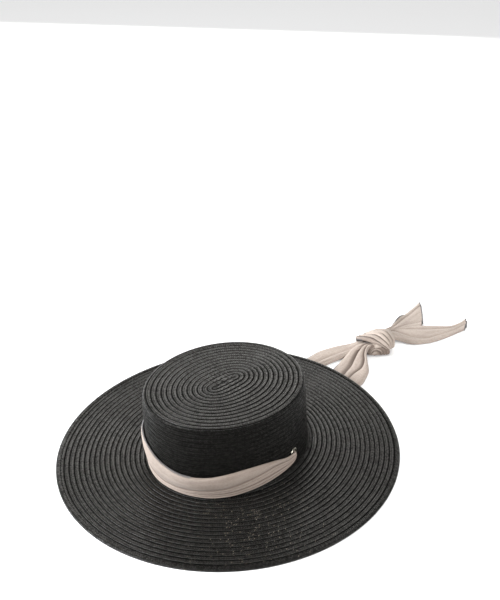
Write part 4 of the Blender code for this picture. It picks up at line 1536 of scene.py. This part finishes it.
def cut_hole(crown, seat, material):
    """Cut an eyelet's round hole through the wall of the crown."""
    radius = EYELET_BORE_RADIUS + EYELET_BARREL_WALL + GAP
    points = [seat.round_place(radius, math.tau * i / HOLE_SEGMENTS, height)
              for height in (-HOLE_CUT_LENGTH / 2, HOLE_CUT_LENGTH / 2) for i in range(HOLE_SEGMENTS)]
    low = list(range(HOLE_SEGMENTS))
    high = [i + HOLE_SEGMENTS for i in low]
    faces = [low, high]
    faces += [(low[i - 1], low[i], high[i], high[i - 1]) for i in low]
    cutter = add_mesh("hole_cutter", points, faces, material)
    face_outwards(cutter.data)
    hole = crown.modifiers.new("eyelet_hole", "BOOLEAN")
    hole.operation = "DIFFERENCE"
    hole.solver = "EXACT"
    hole.object = cutter
    settle(crown)
    bpy.data.objects.remove(cutter)


class HAT_OT_eyelets(bpy.types.Operator):
    """Set a rolled metal eyelet in each side of the crown"""

    bl_idname = "braidhat.eyelets"
    bl_label = "Eyelets"

    def execute(self, context):
        look = context.scene.braidhat_eyelets
        metal = material_named("pale_brass", metal_material, look)
        bore, barrel = EYELET_BORE_RADIUS, EYELET_BORE_RADIUS + EYELET_BARREL_WALL
        flange, washer = look.flange_radius, EYELET_WASHER_RADIUS
        face, inside, thick = EYELET_FACE, EYELET_INSIDE, EYELET_METAL
        keys = [
            (bore, face), (bore + thick * 0.3, face + thick * 0.8), (mix(bore, flange, 0.4), face + thick),
            (mix(bore, flange, 0.75), face + thick * 0.85), (flange, face + thick * 0.3), (flange, face),
            (barrel, face), (barrel, inside), (washer, inside), (washer, inside - thick * 0.4),
            (mix(bore, washer, 0.6), inside - thick), (bore + thick * 0.3, inside - thick * 0.8),
        ]
        section = smooth(keys + keys[:1], EYELET_STEPS)[:-1]
        for node, side in (("eyelet_left", 1), ("eyelet_right", -1)):
            eyelet = lathe(node + "_ring", EyeletSeat(side), section, EYELET_SEGMENTS, metal)
            dress(eyelet, "eyelet_metal", node)
        return {"FINISHED"}


def add_sheet(name, rings, look, nodes):
    """A strip of the scarf that stands for CAD nodes.
    """
    item = cloth_strip(name, rings, look)
    length = float(np.linalg.norm(np.diff(rings[..., :3], axis=0), axis=2).mean(axis=1).sum())
    dress(item, "scarf_cloth", *nodes)
    return item


class HAT_OT_band(bpy.types.Operator):
    """Lay the scarf's band round the front of the crown, from eyelet to eyelet"""

    bl_idname = "braidhat.band"
    bl_label = "Scarf Band"

    def execute(self, context):
        look = context.scene.braidhat_scarf
        left, right = EyeletSeat(1), EyeletSeat(-1)
        sections = [
            lapped_section(folds[::-1], CLOTH_TUCK / BAND_HEIGHT / (high - low), BAND_FOLD_SHADES)
            for _, low, high, _, _, *folds in BAND_ROWS]
        keys = band_turn(left, sections[0])
        keys += [band_ring(*row[:5], section) for row, section in zip(BAND_ROWS, sections)]
        keys += band_turn(right, sections[-1])[::-1]
        rings = smooth(keys, STRIP_STEPS)
        # Painted shade over the whole band, fading towards its far end
        start, end = BAND_SHADE_END
        lit = ease(clip((np.linspace(0.0, 1.0, len(rings)) - start) / (end - start)))
        rings[..., 3] += BAND_SHADE * (1 - BAND_SHADE_LOSS * lit)[:, None]
        hem = side_hem("band_hem", rings, BAND_HEM, look, side=-1)
        add_sheet("scarf_band_cloth", rings, look, ["scarf_band"])
        return {"FINISHED"}


class HAT_OT_strands(bpy.types.Operator):
    """Lay the two strands from the eyelets, under the brim's back, to the knot"""

    bl_idname = "braidhat.strands"
    bl_label = "Scarf Strands"

    def execute(self, context):
        look = context.scene.braidhat_scarf
        for node, rows, side, painted_shade, shown in STRANDS:
            rings = strand_rings(rows, EyeletSeat(side), painted_shade)
            hem = side_hem(node + "_hem", rings, shown, look)
            add_sheet(node + "_cloth", rings, look, [node])
        return {"FINISHED"}


class HAT_OT_knot(bpy.types.Operator):
    """Wind the knot: a slanted wrap of lapped folds over the cloth inside it"""

    bl_idname = "braidhat.knot"
    bl_label = "Scarf Knot"

    def execute(self, context):
        look = context.scene.braidhat_scarf
        rings = knot_wrap_rings()
        hem = side_hem("knot_wrap_hem", rings, WRAP_HEM, look)
        add_sheet("knot_wrap", rings, look, ["scarf_knot"])
        add_sheet("knot_lobe", knot_lobe_rings(), look, [])
        add_sheet("knot_core", knot_core_rings(), look, [])
        return {"FINISHED"}


class HAT_OT_tails(bpy.types.Operator):
    """Spread the two tails from the knot to their hemmed ends"""

    bl_idname = "braidhat.tails"
    bl_label = "Scarf Tails"

    def execute(self, context):
        look = context.scene.braidhat_scarf
        for node, rows, length, roots in TAILS:
            rings = tail_rings(rows, length, roots)
            hems = [add_hem(node + "_end_hem", rings[-1], rings[-3], look)]
            if rows is TAIL_UPPER_ROWS:
                hems.append(side_hem(node + "_side_hem", rings, TAIL_SIDE_HEM, look))
            add_sheet(node + "_cloth", rings, look, [node])
        return {"FINISHED"}


def add_camera(look):
    """The camera at the photograph's angle."""
    data = bpy.data.cameras.new("camera")
    data.sensor_width = 36.0
    data.lens = look.lens
    data.clip_start = 0.01
    camera = add_object("camera", data)
    turn = Matrix(CAMERA_DIRECTIONS).transposed().to_4x4()
    camera.matrix_world = Matrix.Translation(CAMERA_PLACE) @ turn
    bpy.context.scene.camera = camera


def add_light(name, place, size, power, colour):
    """A square soft light at a place that looks at the hat."""
    data = bpy.data.lights.new(name, "AREA")
    data.shape = "SQUARE"
    data.size = size
    data.energy = power
    data.color = colour
    light = add_object(name, data)
    away = Vector(place) - Vector(LIGHT_TARGET)
    light.matrix_world = Matrix.Translation(place) @ away.to_track_quat("Z", "Y").to_matrix().to_4x4()
    light.visible_camera = False


class HAT_OT_stage(bpy.types.Operator):
    """Set up the camera, the soft light and the pale floor"""

    bl_idname = "braidhat.stage"
    bl_label = "Stage"

    def execute(self, context):
        look = context.scene.braidhat_stage
        add_camera(look)
        for name, power, place, size, colour in LIGHTS:
            add_light(name, place, size, getattr(look, power), colour)
        world = bpy.data.worlds.new("studio")
        world.use_nodes = True
        graph = Graph(world.node_tree)
        towards = graph.add("ShaderNodeTexCoord").output("Generated")
        rise = graph.add("ShaderNodeSeparateXYZ", inputs={"Vector": towards}).output("Z")
        overhead = ease(clip((rise - OVERHEAD_START) / OVERHEAD_SPREAD))
        light = graph.add("ShaderNodeBackground", inputs={
            "Color": WHITE, "Strength": mix(look.surround, look.overhead, overhead)})
        graph.add("ShaderNodeOutputWorld", inputs={"Surface": light})
        context.scene.world = world
        context.scene.view_settings.view_transform = "Standard"
        half = FLOOR_SIZE / 2
        corners = [(-half, -half, 0.0), (half, -half, 0.0), (half, half, 0.0), (-half, half, 0.0)]
        floor = add_mesh("floor", corners, [(0, 1, 2, 3)], floor_material(look))
        return {"FINISHED"}


class HAT_PT_panel(bpy.types.Panel):
    """The hat's pieces, and their sizes and colours"""

    bl_idname = "HAT_PT_panel"
    bl_label = "Braid Hat"
    bl_space_type = "VIEW_3D"
    bl_region_type = "UI"
    bl_category = "Braid Hat"

    def draw(self, context):
        for name, group, operators in SECTIONS:
            box = self.layout.box()
            for setting in group.__annotations__:
                box.prop(getattr(context.scene, name), setting)
            for operator in operators:
                box.operator(operator.bl_idname)


# The panel's sections: each group of settings, under its name in the scene, with its operators
SECTIONS = (
    ("braidhat_straw", StrawLook, (HAT_OT_crown, HAT_OT_brim)),
    ("braidhat_eyelets", EyeletLook, (HAT_OT_eyelets,)),
    ("braidhat_scarf", ScarfLook, (HAT_OT_band, HAT_OT_strands, HAT_OT_knot, HAT_OT_tails)),
    ("braidhat_stage", StageLook, (HAT_OT_stage,)),
)
CLASSES = [group for _, group, _ in SECTIONS]
CLASSES += [operator for _, _, operators in SECTIONS for operator in operators]
CLASSES.append(HAT_PT_panel)


def register():
    for item in CLASSES:
        bpy.utils.register_class(item)
    for name, group, _ in SECTIONS:
        setattr(bpy.types.Scene, name, PointerProperty(type=group))


def unregister():
    for name, _, _ in SECTIONS:
        delattr(bpy.types.Scene, name)
    for item in reversed(CLASSES):
        bpy.utils.unregister_class(item)


def main():
    """Make every piece in order."""
    register()
    bpy.ops.braidhat.crown()
    bpy.ops.braidhat.brim()
    bpy.ops.braidhat.stage()
    bpy.ops.braidhat.eyelets()
    bpy.ops.braidhat.band()
    bpy.ops.braidhat.strands()
    bpy.ops.braidhat.knot()
    bpy.ops.braidhat.tails()


if __name__ == "__main__":
    main()
